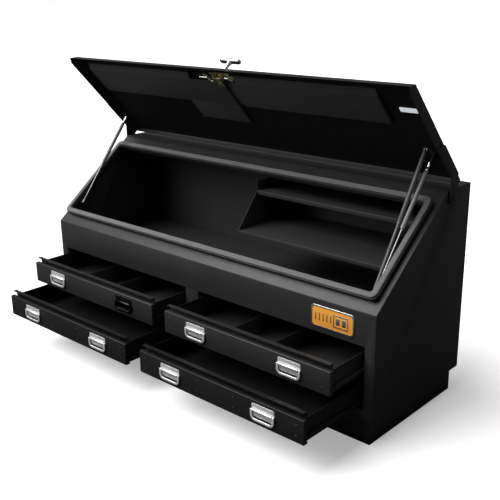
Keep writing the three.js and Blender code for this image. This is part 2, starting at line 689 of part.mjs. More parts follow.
/**
 * A hat section across the lid, with a bevelled front side and a leg towards the hinge.
 * Its left end is flat where it crosses the foam.
 */
function lidStiffener() {
  const front = LID_FRONT + STIFFENER_FRONT;
  const rear = LID_FRONT + STIFFENER_REAR;
  const base = LID_INSIDE - GAP;
  const face = base - STIFFENER_DEPTH;
  const leg = [-STIFFENER_LEG_WIDTH, 0];
  const legEnd = LID_FRONT + STIFFENER_LEG_END;
  const section = (inset) => polygon([
    [front - STIFFENER_BEVEL + inset * 2, base + inset],
    [front + inset / 2, face + inset],
    [rear - inset, face + inset],
    [rear - inset, base + inset],
  ]);
  const hat = ([x0, x1]) => {
    const inset = THIN_SHEET;
    const outside = sidePlate(section(0), [x0, x1]);
    return outside.subtract(sidePlate(section(inset), [x0 + inset, x1 - inset]));
  };
  const legOutside = block(leg, [rear - THIN_SHEET, legEnd], [face, base]);
  const legInside = block(
    [leg[0] + THIN_SHEET, leg[1] - THIN_SHEET],
    [rear - THIN_SHEET * 2, legEnd - THIN_SHEET],
    [face + THIN_SHEET, base + CUT],
  );
  const strap = block([-THIN_SHEET, STIFFENER_SPLIT + THIN_SHEET], [front, rear], [base - THIN_SHEET, base]);
  const flatEnd = block([STIFFENER_LEFT_MARGIN - LID_HALF, THIN_SHEET - RIM_INNER_HALF], [front, rear],
    [base - THIN_SHEET, base]);
  const cutout = block(
    [-LATCH_CUTOUT_LEFT, LATCH_CUTOUT_RIGHT],
    [LID_FRONT, front],
    [face - CUT, base + CUT],
  );
  return join([
    hat([-RIM_INNER_HALF, 0]),
    hat([STIFFENER_SPLIT, LID_HALF - STIFFENER_RIGHT_MARGIN]),
    legOutside,
    strap,
    flatEnd,
  ]).subtract(legInside).subtract(cutout);
}

/** A cranked flat bar: it stands upright from the hinge bolt when the lid is open. */
function hingeArm(side) {
  const stem = Math.PI / 2 + LID_OPEN_ANGLE - SLOPE;
  const direction = [Math.cos(stem), Math.sin(stem)];
  const across = [direction[1], -direction[0]];
  const outerEdge = LID_TOP;
  const innerEdge = LID_TOP - LID_SIDE_FLANGE;
  const half = ARM_WIDTH / 2;
  const edgePoint = (offset, up) => {
    const reach = (up - HINGE.up - across[1] * offset) / direction[1];
    return [HINGE.along + direction[0] * reach + across[0] * offset, up];
  };
  const outerKnee = edgePoint(half, outerEdge);
  const innerKnee = edgePoint(-half, innerEdge);
  const shape = new THREE.Shape();
  shape.moveTo(...outerKnee);
  shape.lineTo(outerKnee[0] - ARM_ON_FLANGE, outerEdge);
  shape.lineTo(innerKnee[0] - ARM_ON_FLANGE, innerEdge);
  shape.lineTo(...innerKnee);
  const start = Math.atan2(-across[1], -across[0]);
  shape.lineTo(HINGE.along - across[0] * half, HINGE.up - across[1] * half);
  shape.absarc(HINGE.along, HINGE.up, half, start, start + Math.PI);
  const face = LID_HALF + GAP;
  const through = mirrored(side, [face - CUT, face + ARM_THICKNESS + CUT]);
  const hole = rod('x', BOLT_RADIUS + BOLT_CLEARANCE, through, [HINGE.along, HINGE.up]);
  return sidePlate(shape, mirrored(side, [face, face + ARM_THICKNESS])).subtract(hole);
}

/** The hinge bolt: nut inside the cabinet, collar between cabinet and arm, head outside. */
function hingeBolt(side) {
  const centre = [REAR - HINGE_FROM_REAR, HEIGHT - HINGE_BELOW_TOP];
  const armInside = LID_HALF + GAP;
  const armOutside = armInside + ARM_THICKNESS;
  const wallInside = HALF - SHEET;
  const nut = [wallInside - GAP - BOLT_HEAD, wallInside - GAP];
  const collar = [HALF + GAP, armInside - GAP];
  const head = [armOutside + GAP, armOutside + GAP + BOLT_HEAD];
  return join([
    rod('x', BOLT_RADIUS, mirrored(side, [wallInside - BOLT_HEAD, armOutside + BOLT_HEAD]), centre),
    rod('x', BOLT_HEAD_RADIUS, mirrored(side, nut), centre, HEXAGON),
    rod('x', BOLT_HEAD_RADIUS, mirrored(side, collar), centre),
    rod('x', BOLT_HEAD_RADIUS, mirrored(side, head), centre, HEXAGON),
  ]);
}

// ---------------------------------------------------------------- latch

const SPINDLE_ALONG = LID_FRONT + LATCH_FROM_EDGE;
// crank pin from the spindle, the same along the slope as across it
const CRANK_REACH = CRANK_RADIUS * Math.SQRT1_2;
const BOLT_BAR_TIP = RIM_INNER_FRONT + GAP + KEEPER_THICKNESS + BOLT_BAR_RETREAT;
const CAM_BOTTOM = BOLT_BAR_HEIGHT + BOLT_BAR_THICKNESS + BOLT_BAR_CLEARANCE;

/** Grip outside the lid, spindle through it, and the cam with its crank pin inside. */
function latchHandle() {
  const grip = new THREE.ExtrudeGeometry(
    roundedRectangle(THREE.Shape, T_LENGTH / 2, -T_WIDTH / 2, T_WIDTH / 2, T_WIDTH / 2 - T_FLAT),
    { depth: T_THICKNESS, bevelEnabled: false, curveSegments: ARC_COARSE },
  );
  grip.translate(0, SPINDLE_ALONG, LID_TOP + T_STANDOFF);
  return join([
    solid(grip),
    rod('z', SPINDLE_RADIUS, [CAM_BOTTOM, LID_TOP + T_STANDOFF + CUT], [0, SPINDLE_ALONG]),
    rod('z', CAM_RADIUS, [CAM_BOTTOM, CAM_BOTTOM + CAM_THICKNESS], [0, SPINDLE_ALONG]),
    rod('z', CRANK_PIN_RADIUS, [BOLT_BAR_HEIGHT, CAM_BOTTOM + CUT],
      [CRANK_REACH, SPINDLE_ALONG + CRANK_REACH], SMALL_ROUND),
  ]);
}

/** The plate under the lid's skin, with two ears whose lips carry the sliding bolt. */
function latchPlate() {
  const along = span(SPINDLE_ALONG, LATCH_PLATE_LENGTH);
  const top = LID_INSIDE - GAP;
  const ear = BOLT_BAR_WIDTH / 2 + BOLT_BAR_CLEARANCE;
  const lipTop = BOLT_BAR_HEIGHT - BOLT_BAR_CLEARANCE / 2;
  const earAlong = span(SPINDLE_ALONG, BOLT_BAR_LENGTH / 2);
  const ears = [-1, 1].flatMap((side) => [
    block(mirrored(side, [ear, ear + SHEET]), earAlong, [lipTop - SHEET, top]),
    block(mirrored(side, [ear - SHEET * 2, ear + SHEET]), earAlong, [lipTop - SHEET, lipTop]),
  ]);
  const plate = block(span(0, BOLT_BAR_WIDTH + 2 * LATCH_PLATE_MARGIN), along, [top - SHEET, top]);
  const through = [top - SHEET - CUT, top + CUT];
  const hole = rod('z', SPINDLE_RADIUS + SPINDLE_CLEARANCE, through, [0, SPINDLE_ALONG]);
  return join([plate, ...ears]).subtract(hole);
}

/** The sliding bolt, with the window that the crank pin works in. */
function latchBolt() {
  const half = CRANK_PIN_RADIUS + CRANK_CLEARANCE;
  const bar = block(span(0, BOLT_BAR_WIDTH), [BOLT_BAR_TIP, BOLT_BAR_TIP + BOLT_BAR_LENGTH],
    [BOLT_BAR_HEIGHT, BOLT_BAR_HEIGHT + BOLT_BAR_THICKNESS]);
  const window = block(
    [CRANK_REACH - half, CRANK_RADIUS + half],
    span(SPINDLE_ALONG + CRANK_REACH, 2 * half),
    [BOLT_BAR_HEIGHT - CUT, BOLT_BAR_HEIGHT + BOLT_BAR_THICKNESS + CUT],
  );
  return bar.subtract(window);
}

function latchKeeper() {
  const along = [RIM_INNER_FRONT + GAP, RIM_INNER_FRONT + GAP + KEEPER_THICKNESS];
  const plate = block(span(0, BOLT_BAR_WIDTH + 4 * KEEPER_MARGIN), along,
    [GAP, RIM_HEIGHT - GAP]);
  return plate.subtract(latchSlot([along[0] - CUT, along[1] + CUT]));
}

// ---------------------------------------------------------------- struts and stay

/** The lower member: an eye on the foot's pin and a bar that enters the upper member. */
function lowerMember(radius, length) {
  return rod('y', radius, [0, length], [0, 0]).add(eye(radius, 0));
}

/** The upper member: a sleeve that is open at its foot and closed by an eye at its head. */
function upperMember(radius, bore, from, length, depth) {
  return rod('y', radius, [from, length], [0, 0])
    .add(eye(radius, length))
    .subtract(rod('y', bore, [from - CUT, from + depth], [0, 0]));
}

function eye(radius, at) {
  return rod('x', EYE_RADIUS, span(0, 2 * (radius - EYE_RELIEF)), [at, 0]);
}

/** Both members of a telescope, drawn out for the open lid, at the side of the opening at x. */
function telescope(x, foot, head, lower, upper) {
  const top = opened(head);
  const along = top.along - foot.along;
  const up = top.up - foot.up;
  const length = Math.hypot(along, up);
  const stroke = length - Math.hypot(head.along - foot.along, head.up - foot.up);
  const exposed = stroke + lower.reserve;
  const bore = lower.radius + TELESCOPE_CLEARANCE;
  const depth = lower.engaged + stroke + TELESCOPE_END_SPACE;
  const group = new THREE.Group();
  group.add(
    part(lower.name, lowerMember(lower.radius, exposed + lower.engaged), lower.material),
    part(upper.name, upperMember(upper.radius, bore, exposed, length, depth), upper.material),
  );
  group.position.set(x, foot.along, foot.up);
  group.rotation.x = Math.atan2(up, along);
  return group;
}

function gasStrut(side, name) {
  const rodOf = {
    name: `strut_rod_${name}`,
    radius: STRUT_ROD_RADIUS,
    reserve: STRUT_RESERVE,
    engaged: STRUT_ENGAGED,
    material: CHROME(),
  };
  const cylinder = { name: `strut_cylinder_${name}`, radius: STRUT_RADIUS, material: STAY_PAINT() };
  return telescope(side * STRUT_X, STRUT_FOOT, STRUT_HEAD, rodOf, cylinder);
}

function lidStay() {
  const tube = {
    name: 'stay_lower_tube',
    radius: STAY_TUBE_RADIUS,
    reserve: STAY_RESERVE,
    engaged: STAY_ENGAGED,
    material: STAY_PAINT(),
  };
  const sleeve = { name: 'stay_upper_sleeve', radius: STAY_RADIUS, material: STAY_PAINT() };
  return telescope(STAY_X, STAY_FOOT, STAY_HEAD, tube, sleeve);
}

// ---------------------------------------------------------------- assembly

const box = new THREE.Group();

box.add(
  part('plinth', plinth(), BLACK_COAT()),
  part('cabinet_side_left', cabinetSide(-1), BLACK_COAT()),
  part('cabinet_side_right', cabinetSide(1), BLACK_COAT()),
  part('back_panel', backPanel(), BLACK_COAT()),
  part('front_fascia', frontFascia(), BLACK_COAT()),
  part('top_ledge', topLedge(), BLACK_COAT()),
  part('cabinet_floor', levelSheet(PLINTH_HEIGHT + GAP), BLACK_COAT()),
  part('compartment_deck', levelSheet(DECK_BOTTOM), BLACK_COAT()),
  part('bay_partition', bayPartition(), BLACK_COAT()),
  part('runner_liner_left', runnerLiner(-1), BLACK_COAT()),
  part('runner_liner_right', runnerLiner(1), BLACK_COAT()),
  part('shelf_side_panel', shelfSidePanel(), BLACK_COAT()),
  part('shelf_lower', shelf(LOWER_SHELF_TOP, LOWER_SHELF_FRONT), BLACK_COAT()),
  part('shelf_upper', shelf(UPPER_SHELF_TOP, UPPER_SHELF_FRONT), BLACK_COAT()),
  part('hinge_bolt_left', hingeBolt(-1), BLACK_COAT()),
  part('hinge_bolt_right', hingeBolt(1), BLACK_COAT()),
);

// the slope's own directions, from the front corner
const slope = new THREE.Group();
slope.position.set(0, FRONT, FRONT_HEIGHT);
slope.rotation.x = SLOPE;
slope.add(
  part('slant_frame', slantFrame(), BLACK_COAT()),
  part('weather_seal', weatherSeal(), FOAM()),
  part('latch_keeper', latchKeeper(), ZINC()),
  gasStrut(-1, 'left'),
  gasStrut(1, 'right'),
  lidStay(),
);
box.add(slope);

// the lid turns about the hinge bolts
const lidTurn = new THREE.Group();
lidTurn.position.set(0, HINGE.along, HINGE.up);
lidTurn.rotation.x = -LID_OPEN_ANGLE;
const lid = new THREE.Group();
lid.position.set(0, -HINGE.along, -HINGE.up);
lid.add(
  part('lid_panel', lidPanel(), BLACK_COAT()),
  part('lid_stiffener', lidStiffener(), BLACK_COAT()),
  part('hinge_arm_left', hingeArm(-1), BLACK_COAT()),
  part('hinge_arm_right', hingeArm(1), BLACK_COAT()),
  part('latch_handle', latchHandle(), CHROME()),
  part('latch_plate', latchPlate(), ZINC()),
  part('latch_bolt', latchBolt(), ZINC()),
);
lidTurn.add(lid);
slope.add(lidTurn);

for (const layout of DRAWERS) {
  box.add(drawer(layout));
}

export default box;
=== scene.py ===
# %% [markdown]
# # A slant-front steel tool box
# The box is folded steel sheet with a black powder coat: a cabinet on a plinth, a sloping lid on
# two gas struts and four drawers with bail handles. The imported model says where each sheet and
# fitting is and how it moves. This file gives them the look of the real thing: folded edges, cast
# and plated fittings, foam, and finishes that vary over the surface. It is read from the top, one
# cell after the other.

# %% Load the frame
import json
import math

import bpy
from mathutils import Matrix, Vector


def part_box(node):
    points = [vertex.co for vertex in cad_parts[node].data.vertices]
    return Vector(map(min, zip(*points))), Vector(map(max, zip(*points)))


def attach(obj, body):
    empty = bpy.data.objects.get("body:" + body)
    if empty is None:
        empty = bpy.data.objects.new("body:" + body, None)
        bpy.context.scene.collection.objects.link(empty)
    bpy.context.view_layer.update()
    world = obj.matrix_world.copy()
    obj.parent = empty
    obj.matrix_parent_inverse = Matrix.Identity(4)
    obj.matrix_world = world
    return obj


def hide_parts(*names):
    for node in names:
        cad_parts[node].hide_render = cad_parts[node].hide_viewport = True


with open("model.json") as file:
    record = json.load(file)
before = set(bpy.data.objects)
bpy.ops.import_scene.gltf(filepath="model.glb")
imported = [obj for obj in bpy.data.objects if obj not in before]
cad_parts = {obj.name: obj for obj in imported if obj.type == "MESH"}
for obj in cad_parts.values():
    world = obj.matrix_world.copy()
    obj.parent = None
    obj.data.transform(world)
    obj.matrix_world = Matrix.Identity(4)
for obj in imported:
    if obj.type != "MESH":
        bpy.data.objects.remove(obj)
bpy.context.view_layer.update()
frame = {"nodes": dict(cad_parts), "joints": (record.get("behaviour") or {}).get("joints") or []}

nodes = frame["nodes"]
joints = {joint["name"]: joint for joint in frame["joints"]}

# %% [markdown]
# ## Directions
# Three sets of directions are used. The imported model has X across, Y to the rear and Z up. The
# slope has one with its Y up along the slope and its Z square to it. The lid has the same one as it
# lies when it is shut, and then swings with it to the open place, so that everything on the lid is
# laid out flat.

# %% Slope and lid directions
side_points = [vertex.co for vertex in nodes["cabinet_side_right"].data.vertices]
NEAR = 1e-4
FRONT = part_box("front_fascia")[0].y
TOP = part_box("top_ledge")[1].z
FRONT_HEIGHT = max(point.z for point in side_points if point.y < FRONT + NEAR)
LEDGE_FRONT = min(point.y for point in side_points if point.z > TOP - NEAR)
SLOPE = math.atan2(TOP - FRONT_HEIGHT, LEDGE_FRONT - FRONT)
HINGE = Vector(joints["lid_hinge"]["pos_m"])
LID_OPEN = math.radians(joints["lid_hinge"]["range_deg"][1])

slope_frame = Matrix.Translation((0, FRONT, FRONT_HEIGHT)) @ Matrix.Rotation(SLOPE, 4, "X")
lid_swing = Matrix.Translation(HINGE) @ Matrix.Rotation(-LID_OPEN, 4, "X") @ Matrix.Translation(-HINGE)
lid_frame = lid_swing @ slope_frame
print("slope", round(math.degrees(SLOPE), 2), "degrees, lid open", round(math.degrees(LID_OPEN), 1))


def flat_box(node, directions):
    """The lowest and highest corners of a CAD node, measured in the slope's or the lid's directions."""
    back = directions.inverted()
    points = [back @ vertex.co for vertex in nodes[node].data.vertices]
    low = Vector([min(point[i] for point in points) for i in range(3)])
    high = Vector([max(point[i] for point in points) for i in range(3)])
    return low, high


# %% [markdown]
# ## Camera
# The view is from the right front corner, a little above the box, through a long normal lens.

# %% Camera
CAMERA_PLACE = (2.2268, -2.3879, 1.5557)
CAMERA_YAW = -0.7393
CAMERA_PITCH = 0.3204
CAMERA_ROLL = -0.0124
FOCAL_LENGTH = 57.76
SENSOR_WIDTH = 36.0

forward = Vector((
    math.sin(CAMERA_YAW) * math.cos(CAMERA_PITCH),
    math.cos(CAMERA_YAW) * math.cos(CAMERA_PITCH),
    -math.sin(CAMERA_PITCH),
))
level = Vector((math.cos(CAMERA_YAW), -math.sin(CAMERA_YAW), 0))
upward = level.cross(forward)
right = math.cos(CAMERA_ROLL) * level + math.sin(CAMERA_ROLL) * upward
up = math.cos(CAMERA_ROLL) * upward - math.sin(CAMERA_ROLL) * level
turn = Matrix((right, up, -forward)).transposed().to_4x4()

bpy.ops.object.camera_add()
camera = bpy.context.object
camera.name = "camera"
camera.matrix_world = Matrix.Translation(CAMERA_PLACE) @ turn
camera.data.lens = FOCAL_LENGTH
camera.data.sensor_width = SENSOR_WIDTH
camera.data.clip_end = 200
bpy.context.scene.camera = camera
print("camera at", CAMERA_PLACE)

# %% [markdown]
# ## Modelling helpers
# An operator works on everything that is selected, and the frame leaves the CAD nodes selected. So
# each helper first selects just its own object. A piece is shaped where it belongs and ends with
# its object at the origin.

# %% Selecting and applying


def pick(piece):
    bpy.ops.object.select_all(action="DESELECT")
    piece.select_set(True)
    bpy.context.view_layer.objects.active = piece


def select_parts(piece, kind, wanted):
    """Opens the mesh for editing with the vertices, edges or faces selected that wanted() accepts."""
    pick(piece)
    mesh = piece.data
    for group in (mesh.vertices, mesh.edges, mesh.polygons):
        group.foreach_set("select", [False] * len(group))
    bpy.context.tool_settings.mesh_select_mode = (kind == "vertices", kind == "edges", kind == "polygons")
    for part in getattr(mesh, kind):
        part.select = bool(wanted(part))
    bpy.ops.object.mode_set(mode="EDIT")


def stop_editing():
    bpy.ops.object.mode_set(mode="OBJECT")


def edge_ends(piece, edge):
    return [piece.data.vertices[index].co for index in edge.vertices]


def apply_modifier(piece, kind, **settings):
    pick(piece)
    modifier = piece.modifiers.new(kind.title(), kind)
    for name, value in settings.items():
        setattr(modifier, name, value)
    bpy.ops.object.modifier_apply(modifier=modifier.name)


def round_edges(piece, radius, segments=2, angle=30):
    apply_modifier(piece, "BEVEL", width=radius, segments=segments, limit_method="ANGLE",
                   angle_limit=math.radians(angle), use_clamp_overlap=True, miter_outer="MITER_ARC")


def into(piece, directions):
    """Moves a piece that was laid out flat into its place, and leaves its object at the origin."""
    pick(piece)
    piece.matrix_world = directions @ piece.matrix_world
    bpy.ops.object.transform_apply(location=True, rotation=True, scale=True)


def twin(piece, offset=(0, 0, 0)):
    """A copy with a mesh of its own, moved by an offset."""
    pick(piece)
    bpy.ops.object.duplicate(linked=False)
    copy = bpy.context.object
    copy.location = offset
    bpy.ops.object.transform_apply(location=True, rotation=True, scale=True)
    return copy


def joined(pieces):
    bpy.ops.object.select_all(action="DESELECT")
    for piece in pieces:
        piece.select_set(True)
    bpy.context.view_layer.objects.active = pieces[0]
    bpy.ops.object.join()
    return bpy.context.object


def outward(piece):
    """Merges doubles and turns every face outwards."""
    select_parts(piece, "vertices", lambda vertex: True)
    bpy.ops.mesh.remove_doubles(threshold=1e-6)
    bpy.ops.mesh.normals_make_consistent(inside=False)
    stop_editing()


def fit(piece, name, body, finish, slot, *stands_for):
    """Names a piece, gives it its finish and body, and hides the CAD nodes it stands for."""
    piece.name = name
    piece.data.name = name
    piece.data.materials.clear()
    piece.data.materials.append(finish.material)
    pick(piece)
    bpy.ops.object.shade_smooth_by_angle(angle=math.radians(SMOOTH_ANGLE))
    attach(piece, body)
    if stands_for:
        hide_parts(*stands_for)
    return piece


SMOOTH_ANGLE = 38
print("modelling helpers ready")

# %% [markdown]
# ## Starting shapes
# A piece starts as a block, a sheet with folded edges or a turned bar. The folded sheet is a block
# with some sides deleted. Its remaining edges get the fold's radius and the sheet's thickness is
# then grown inwards, which is how a press brake makes it. The turned bar is a disc that is drawn
# out ring by ring.

# %% Blocks, folded sheets and turned bars


def block(low, high):
    low = Vector(low)
    high = Vector(high)
    bpy.ops.object.select_all(action="DESELECT")
    bpy.ops.mesh.primitive_cube_add(size=1, location=(low + high) / 2)
    piece = bpy.context.object
    piece.scale = high - low
    bpy.ops.object.transform_apply(location=True, rotation=True, scale=True)
    return piece


def without_sides(piece, directions):
    """Deletes the faces that look in these directions."""
    looks = [Vector(direction) for direction in directions]
    select_parts(piece, "polygons", lambda face: any(face.normal.dot(look) > 0.9 for look in looks))
    bpy.ops.mesh.delete(type="FACE")
    stop_editing()


def fold_edges(piece, radius, segments=3):
    """Rounds each edge where two faces meet. The free edges of the sheet stay as they are."""
    mesh = piece.data
    uses = {}
    for face in mesh.polygons:
        for key in face.edge_keys:
            uses[key] = uses.get(key, 0) + 1
    select_parts(piece, "edges", lambda edge: uses.get(edge.key, 0) == 2)
    bpy.ops.mesh.bevel(offset=radius, segments=segments, affect="EDGES")
    stop_editing()


def folded_sheet(low, high, open_sides, radius, thickness):
    piece = block(low, high)
    without_sides(piece, open_sides)
    fold_edges(piece, radius)
    thicken(piece, thickness)
    return piece


def thicken(piece, thickness):
    """Grows the sheet inwards, away from its outer faces."""
    apply_modifier(piece, "SOLIDIFY", thickness=thickness, offset=-1.0, use_even_offset=True)


def turned(profile, place, direction, sides=32):
    """A round bar. Its profile is a list of distances along it and the radius there."""
    first_at, first_radius = profile[0]
    bpy.ops.object.select_all(action="DESELECT")
    bpy.ops.mesh.primitive_circle_add(vertices=sides, radius=first_radius, fill_type="NGON",
                                      location=(0, 0, first_at))
    piece = bpy.context.object
    bpy.ops.object.transform_apply(location=True, rotation=True, scale=True)
    select_parts(piece, "polygons", lambda face: True)
    at = first_at
    radius = first_radius
    for next_at, next_radius in profile[1:]:
        bpy.ops.mesh.extrude_region_move(TRANSFORM_OT_translate={"value": (0, 0, next_at - at)})
        share = next_radius / radius
        bpy.ops.transform.resize(value=(share, share, 1), center_override=(0, 0, next_at))
        at = next_at
        radius = next_radius
    stop_editing()
    outward(piece)
    to_direction = Vector((0, 0, 1)).rotation_difference(Vector(direction)).to_matrix().to_4x4()
    into(piece, Matrix.Translation(place) @ to_direction)
    return piece


print("starting shapes ready")

# %% [markdown]
# ## Finishes as expressions
# A finish is one Principled shader. Noise and other patterns are read from the object's own
# coordinates in metres, so a scale of 900 makes grains of about a millimetre. A small class wraps a
# node's output, and Python's operators on it add Math nodes, so a pattern is written as plain
# arithmetic.

# %% Signals and finishes


class Signal:
    """One output of a finish's nodes. Arithmetic on it adds Math nodes."""

    def __init__(self, finish, socket):
        self.finish = finish
        self.socket = socket

    def math(self, operation, first, second):
        return self.finish.node("ShaderNodeMath", {"operation": operation}, {0: first, 1: second})

    def __add__(self, other):
        return self.math("ADD", self, other)

    def __radd__(self, other):
        return self.math("ADD", other, self)

    def __sub__(self, other):
        return self.math("SUBTRACT", self, other)

    def __mul__(self, other):
        return self.math("MULTIPLY", self, other)


class Finish:
    """A named material with one Principled shader."""

    def __init__(self, name, **constants):
        self.material = bpy.data.materials.new(name)
        self.material.use_nodes = True
        self.tree = self.material.node_tree
        self.shader = self.tree.nodes["Principled BSDF"]
        for socket, value in constants.items():
            self.shader.inputs[socket.replace("_", " ")].default_value = value

    def node(self, kind, settings=None, inputs=None, output=0):
        """Adds a node. Its settings come first, then the values or links of its sockets."""
        node = self.tree.nodes.new(kind)
        for name, value in (settings or {}).items():
            if name == "stops":
                self.set_stops(node.color_ramp, value)
            else:
                setattr(node, name, value)
        for key, value in (inputs or {}).items():
            self.put(value, node.inputs[key])
        return Signal(self, node.outputs[output])

    def set_stops(self, ramp, stops):
        while len(ramp.elements) < len(stops):
            ramp.elements.new(1.0)
        for element, (place, colour) in zip(ramp.elements, stops):
            element.position = place
            element.color = (*colour, 1.0)

    def put(self, value, socket):
        if isinstance(value, Signal):
            self.tree.links.new(value.socket, socket)
        else:
            socket.default_value = value

    def feed(self, socket, value):
        self.put(value, self.shader.inputs[socket])

    def place(self):
        return self.node("ShaderNodeTexCoord", output="Object")

    def noise(self, scale, detail=2.0, roughness=0.5, where=None, stretch=None):
        where = where or self.place()
        if stretch:
            where = self.node("ShaderNodeMapping", {}, {"Vector": where, "Scale": stretch})
        return self.node("ShaderNodeTexNoise", {},
                         {"Vector": where, "Scale": scale, "Detail": detail, "Roughness": roughness})

    def mix(self, amount, first, second):
        """A colour between two colours."""
        return self.node("ShaderNodeMix", {"data_type": "RGBA"},
                         {0: amount, 6: self.colour(first), 7: self.colour(second)}, output=2)

    def colour(self, value):
        return value if isinstance(value, Signal) else (*value, 1.0)

    def bump(self, height, strength, distance, under=None):
        inputs = {"Height": height, "Strength": strength, "Distance": distance}
        if under:
            inputs["Normal"] = under
        return self.node("ShaderNodeBump", {}, inputs)


print("finishes are written as expressions")

# %% [markdown]
# ## Powder coat
# Powder is sprayed on dry and melts to a skin about 80 micrometres thick. It is even in colour, but
# it never lies quite flat: a fine grain of a millimetre breaks up every reflection, and wider,
# softer waves change the sheen a little. Both are noise. The grain goes to the bump and the waves
# to the roughness.

# %% Powder coats


def powder_coat(name, dark, light, roughness, grain, shine=0.45):
    coat = Finish(name, Specular_IOR_Level=shine)
    waves = coat.noise(7, detail=3)
    cloud = coat.noise(60, detail=3)
    fine = coat.noise(1100, detail=3, roughness=0.6)
    coat.feed("Base Color", coat.mix(waves * 0.6 + fine * 0.4, dark, light))
    coat.feed("Roughness", roughness + (waves - 0.5) * 0.1 + (cloud - 0.5) * 0.08 + (fine - 0.5) * 0.14)
    orange_peel = coat.bump(cloud, 0.12, 0.0006)
    coat.feed("Normal", coat.bump(fine, grain, 0.00025, under=orange_peel))
    return coat


BLACK_COAT = powder_coat("black_powder_coat", (0.016, 0.0165, 0.017), (0.026, 0.0265, 0.027), 0.5, 0.5)
# A darker, duller copy of the black coat for the lid's inner face: painted shade.
SHADED_LID_COAT = powder_coat("lid_powder_coat", (0.002, 0.002, 0.0022), (0.0045, 0.0045, 0.0048), 0.55, 0.4, 0.2)
# A lighter copy of the black coat for the lid's stiffener: painted light.
LIT_STIFFENER_COAT = powder_coat("stiffener_powder_coat", (0.046, 0.046, 0.047), (0.064, 0.064, 0.065), 0.55, 0.5)
DRAWER_COAT = powder_coat("drawer_powder_coat", (0.013, 0.0133, 0.014), (0.021, 0.0213, 0.022), 0.47, 0.4)
# A darker copy of the drawer coat for the lower drawers: painted shade.
SHADED_LOWER_DRAWER_COAT = powder_coat("lower_drawer_powder_coat", (0.004, 0.0042, 0.0046), (0.009, 0.0092, 0.0098),
                         0.5, 0.4, 0.3)
STAY_PAINT = powder_coat("stay_enamel", (0.065, 0.066, 0.069), (0.090, 0.091, 0.095), 0.4, 0.3)
STRUT_PAINT = powder_coat("strut_enamel", (0.17, 0.165, 0.185), (0.23, 0.225, 0.245), 0.36, 0.2)
print("powder coats", BLACK_COAT.material.name, DRAWER_COAT.material.name)

# %% [markdown]
# ## Plated metal
# The handles are pressed steel with a satin chrome plate. Handling and polishing leave fine
# scratches in no one direction and soft patches of haze. The latch parts are zinc plated and
# passivated, which gives them a yellow tint that drifts to green and pink like a film of oil.

# %% Plated finishes


def plated(name, tint, haze_tint, roughness, metallic=1.0):
    plate = Finish(name, Metallic=metallic)
    haze = plate.noise(55, detail=4, roughness=0.6)
    scratch = plate.noise(900, detail=2, stretch=(1.0, 0.08, 0.5))
    plate.feed("Base Color", plate.mix(haze, tint, haze_tint))
    plate.feed("Roughness", roughness + (haze - 0.5) * 0.16 + (scratch - 0.5) * 0.1)
    plate.feed("Normal", plate.bump(scratch, 0.15, 0.00006))
    return plate


def passivated(name):
    zinc = Finish(name, Metallic=1.0)
    film = zinc.noise(70, detail=3, roughness=0.55)
    tint = zinc.node("ShaderNodeValToRGB", {"stops": [
        (0.30, (0.62, 0.60, 0.50)),
        (0.45, (0.66, 0.55, 0.26)),
        (0.58, (0.52, 0.56, 0.30)),
        (0.72, (0.68, 0.50, 0.38)),
    ]}, {"Fac": film})
    zinc.feed("Base Color", tint)
    zinc.feed("Roughness", 0.26 + film * 0.2)
    zinc.feed("Normal", zinc.bump(zinc.noise(600), 0.2, 0.0001))
    return zinc


CHROME = plated("satin_chrome", (0.80, 0.80, 0.80), (0.66, 0.66, 0.67), 0.32, metallic=0.55)
ROD_CHROME = plated("rod_chrome", (0.24, 0.235, 0.255), (0.18, 0.177, 0.19), 0.3)
BLACK_ZINC = plated("black_zinc", (0.05, 0.05, 0.052), (0.03, 0.03, 0.032), 0.4)
BRIGHT_CHROME = plated("bright_chrome", (0.88, 0.88, 0.88), (0.78, 0.78, 0.79), 0.12)
DARK_CHROME = plated("black_chrome", (0.035, 0.035, 0.037), (0.02, 0.02, 0.022), 0.22)
ZINC = passivated("yellow_zinc")
print("plated finishes", CHROME.material.name, ZINC.material.name)

# %% [markdown]
# ## Foam, enamel and vinyl
# The seal is open-cell foam: dull, with pores of a millimetre and a lighter dusty top. The badge is
# enamel in a silver frame, and the label is printed vinyl, left without any words, with a faint glow
# of its own that is painted light.

# %% Soft and printed finishes


def foam():
    seal = Finish("foam_seal", Specular_IOR_Level=0.1, Roughness=0.96)
    pores = seal.noise(800, detail=4, roughness=0.75)
    clumps = seal.noise(120, detail=3)
    seal.feed("Base Color", seal.mix(pores * 0.6 + clumps * 0.4, (0.070, 0.070, 0.071), (0.22, 0.22, 0.22)))
    seal.feed("Normal", seal.bump(pores, 0.9, 0.0012))
    return seal


def enamel(name, shade, other_shade, roughness):
    glaze = Finish(name, Coat_Weight=0.5, Coat_Roughness=0.08)
    mottle = glaze.noise(90, detail=3)
    glaze.feed("Base Color", glaze.mix(mottle, shade, other_shade))
    glaze.feed("Roughness", roughness + (mottle - 0.5) * 0.1)
    glaze.feed("Normal", glaze.bump(mottle, 0.05, 0.0004))
    return glaze


FOAM = foam()
BADGE_ORANGE = enamel("badge_enamel", (0.85, 0.36, 0.045), (0.80, 0.32, 0.035), 0.3)
BADGE_SILVER = plated("badge_frame", (0.74, 0.74, 0.75), (0.62, 0.62, 0.64), 0.34)
GLOWING_LABEL = enamel("label_vinyl", (0.93, 0.95, 1.0), (0.90, 0.93, 0.98), 0.35)
# The label's glow is painted light: it makes the label brighter than the lamps alone would.
GLOWING_LABEL.feed("Emission Color", (0.9, 0.94, 1.0, 1.0))
GLOWING_LABEL.feed("Emission Strength", 0.5)
BRASS = plated("brass_cam", (0.72, 0.55, 0.26), (0.55, 0.40, 0.17), 0.28)
print("soft and printed finishes ready")

# %% [markdown]
# ## Cabinet sheets
# The cabinet is laser-cut sheet, folded and welded. A cut edge under powder is never sharp, because
# the powder flows round it, so it catches a thin line of light. Each CAD sheet is copied, its
# triangles are merged back into flat faces, and its edges get a small radius. The copy stands for
# the CAD node.

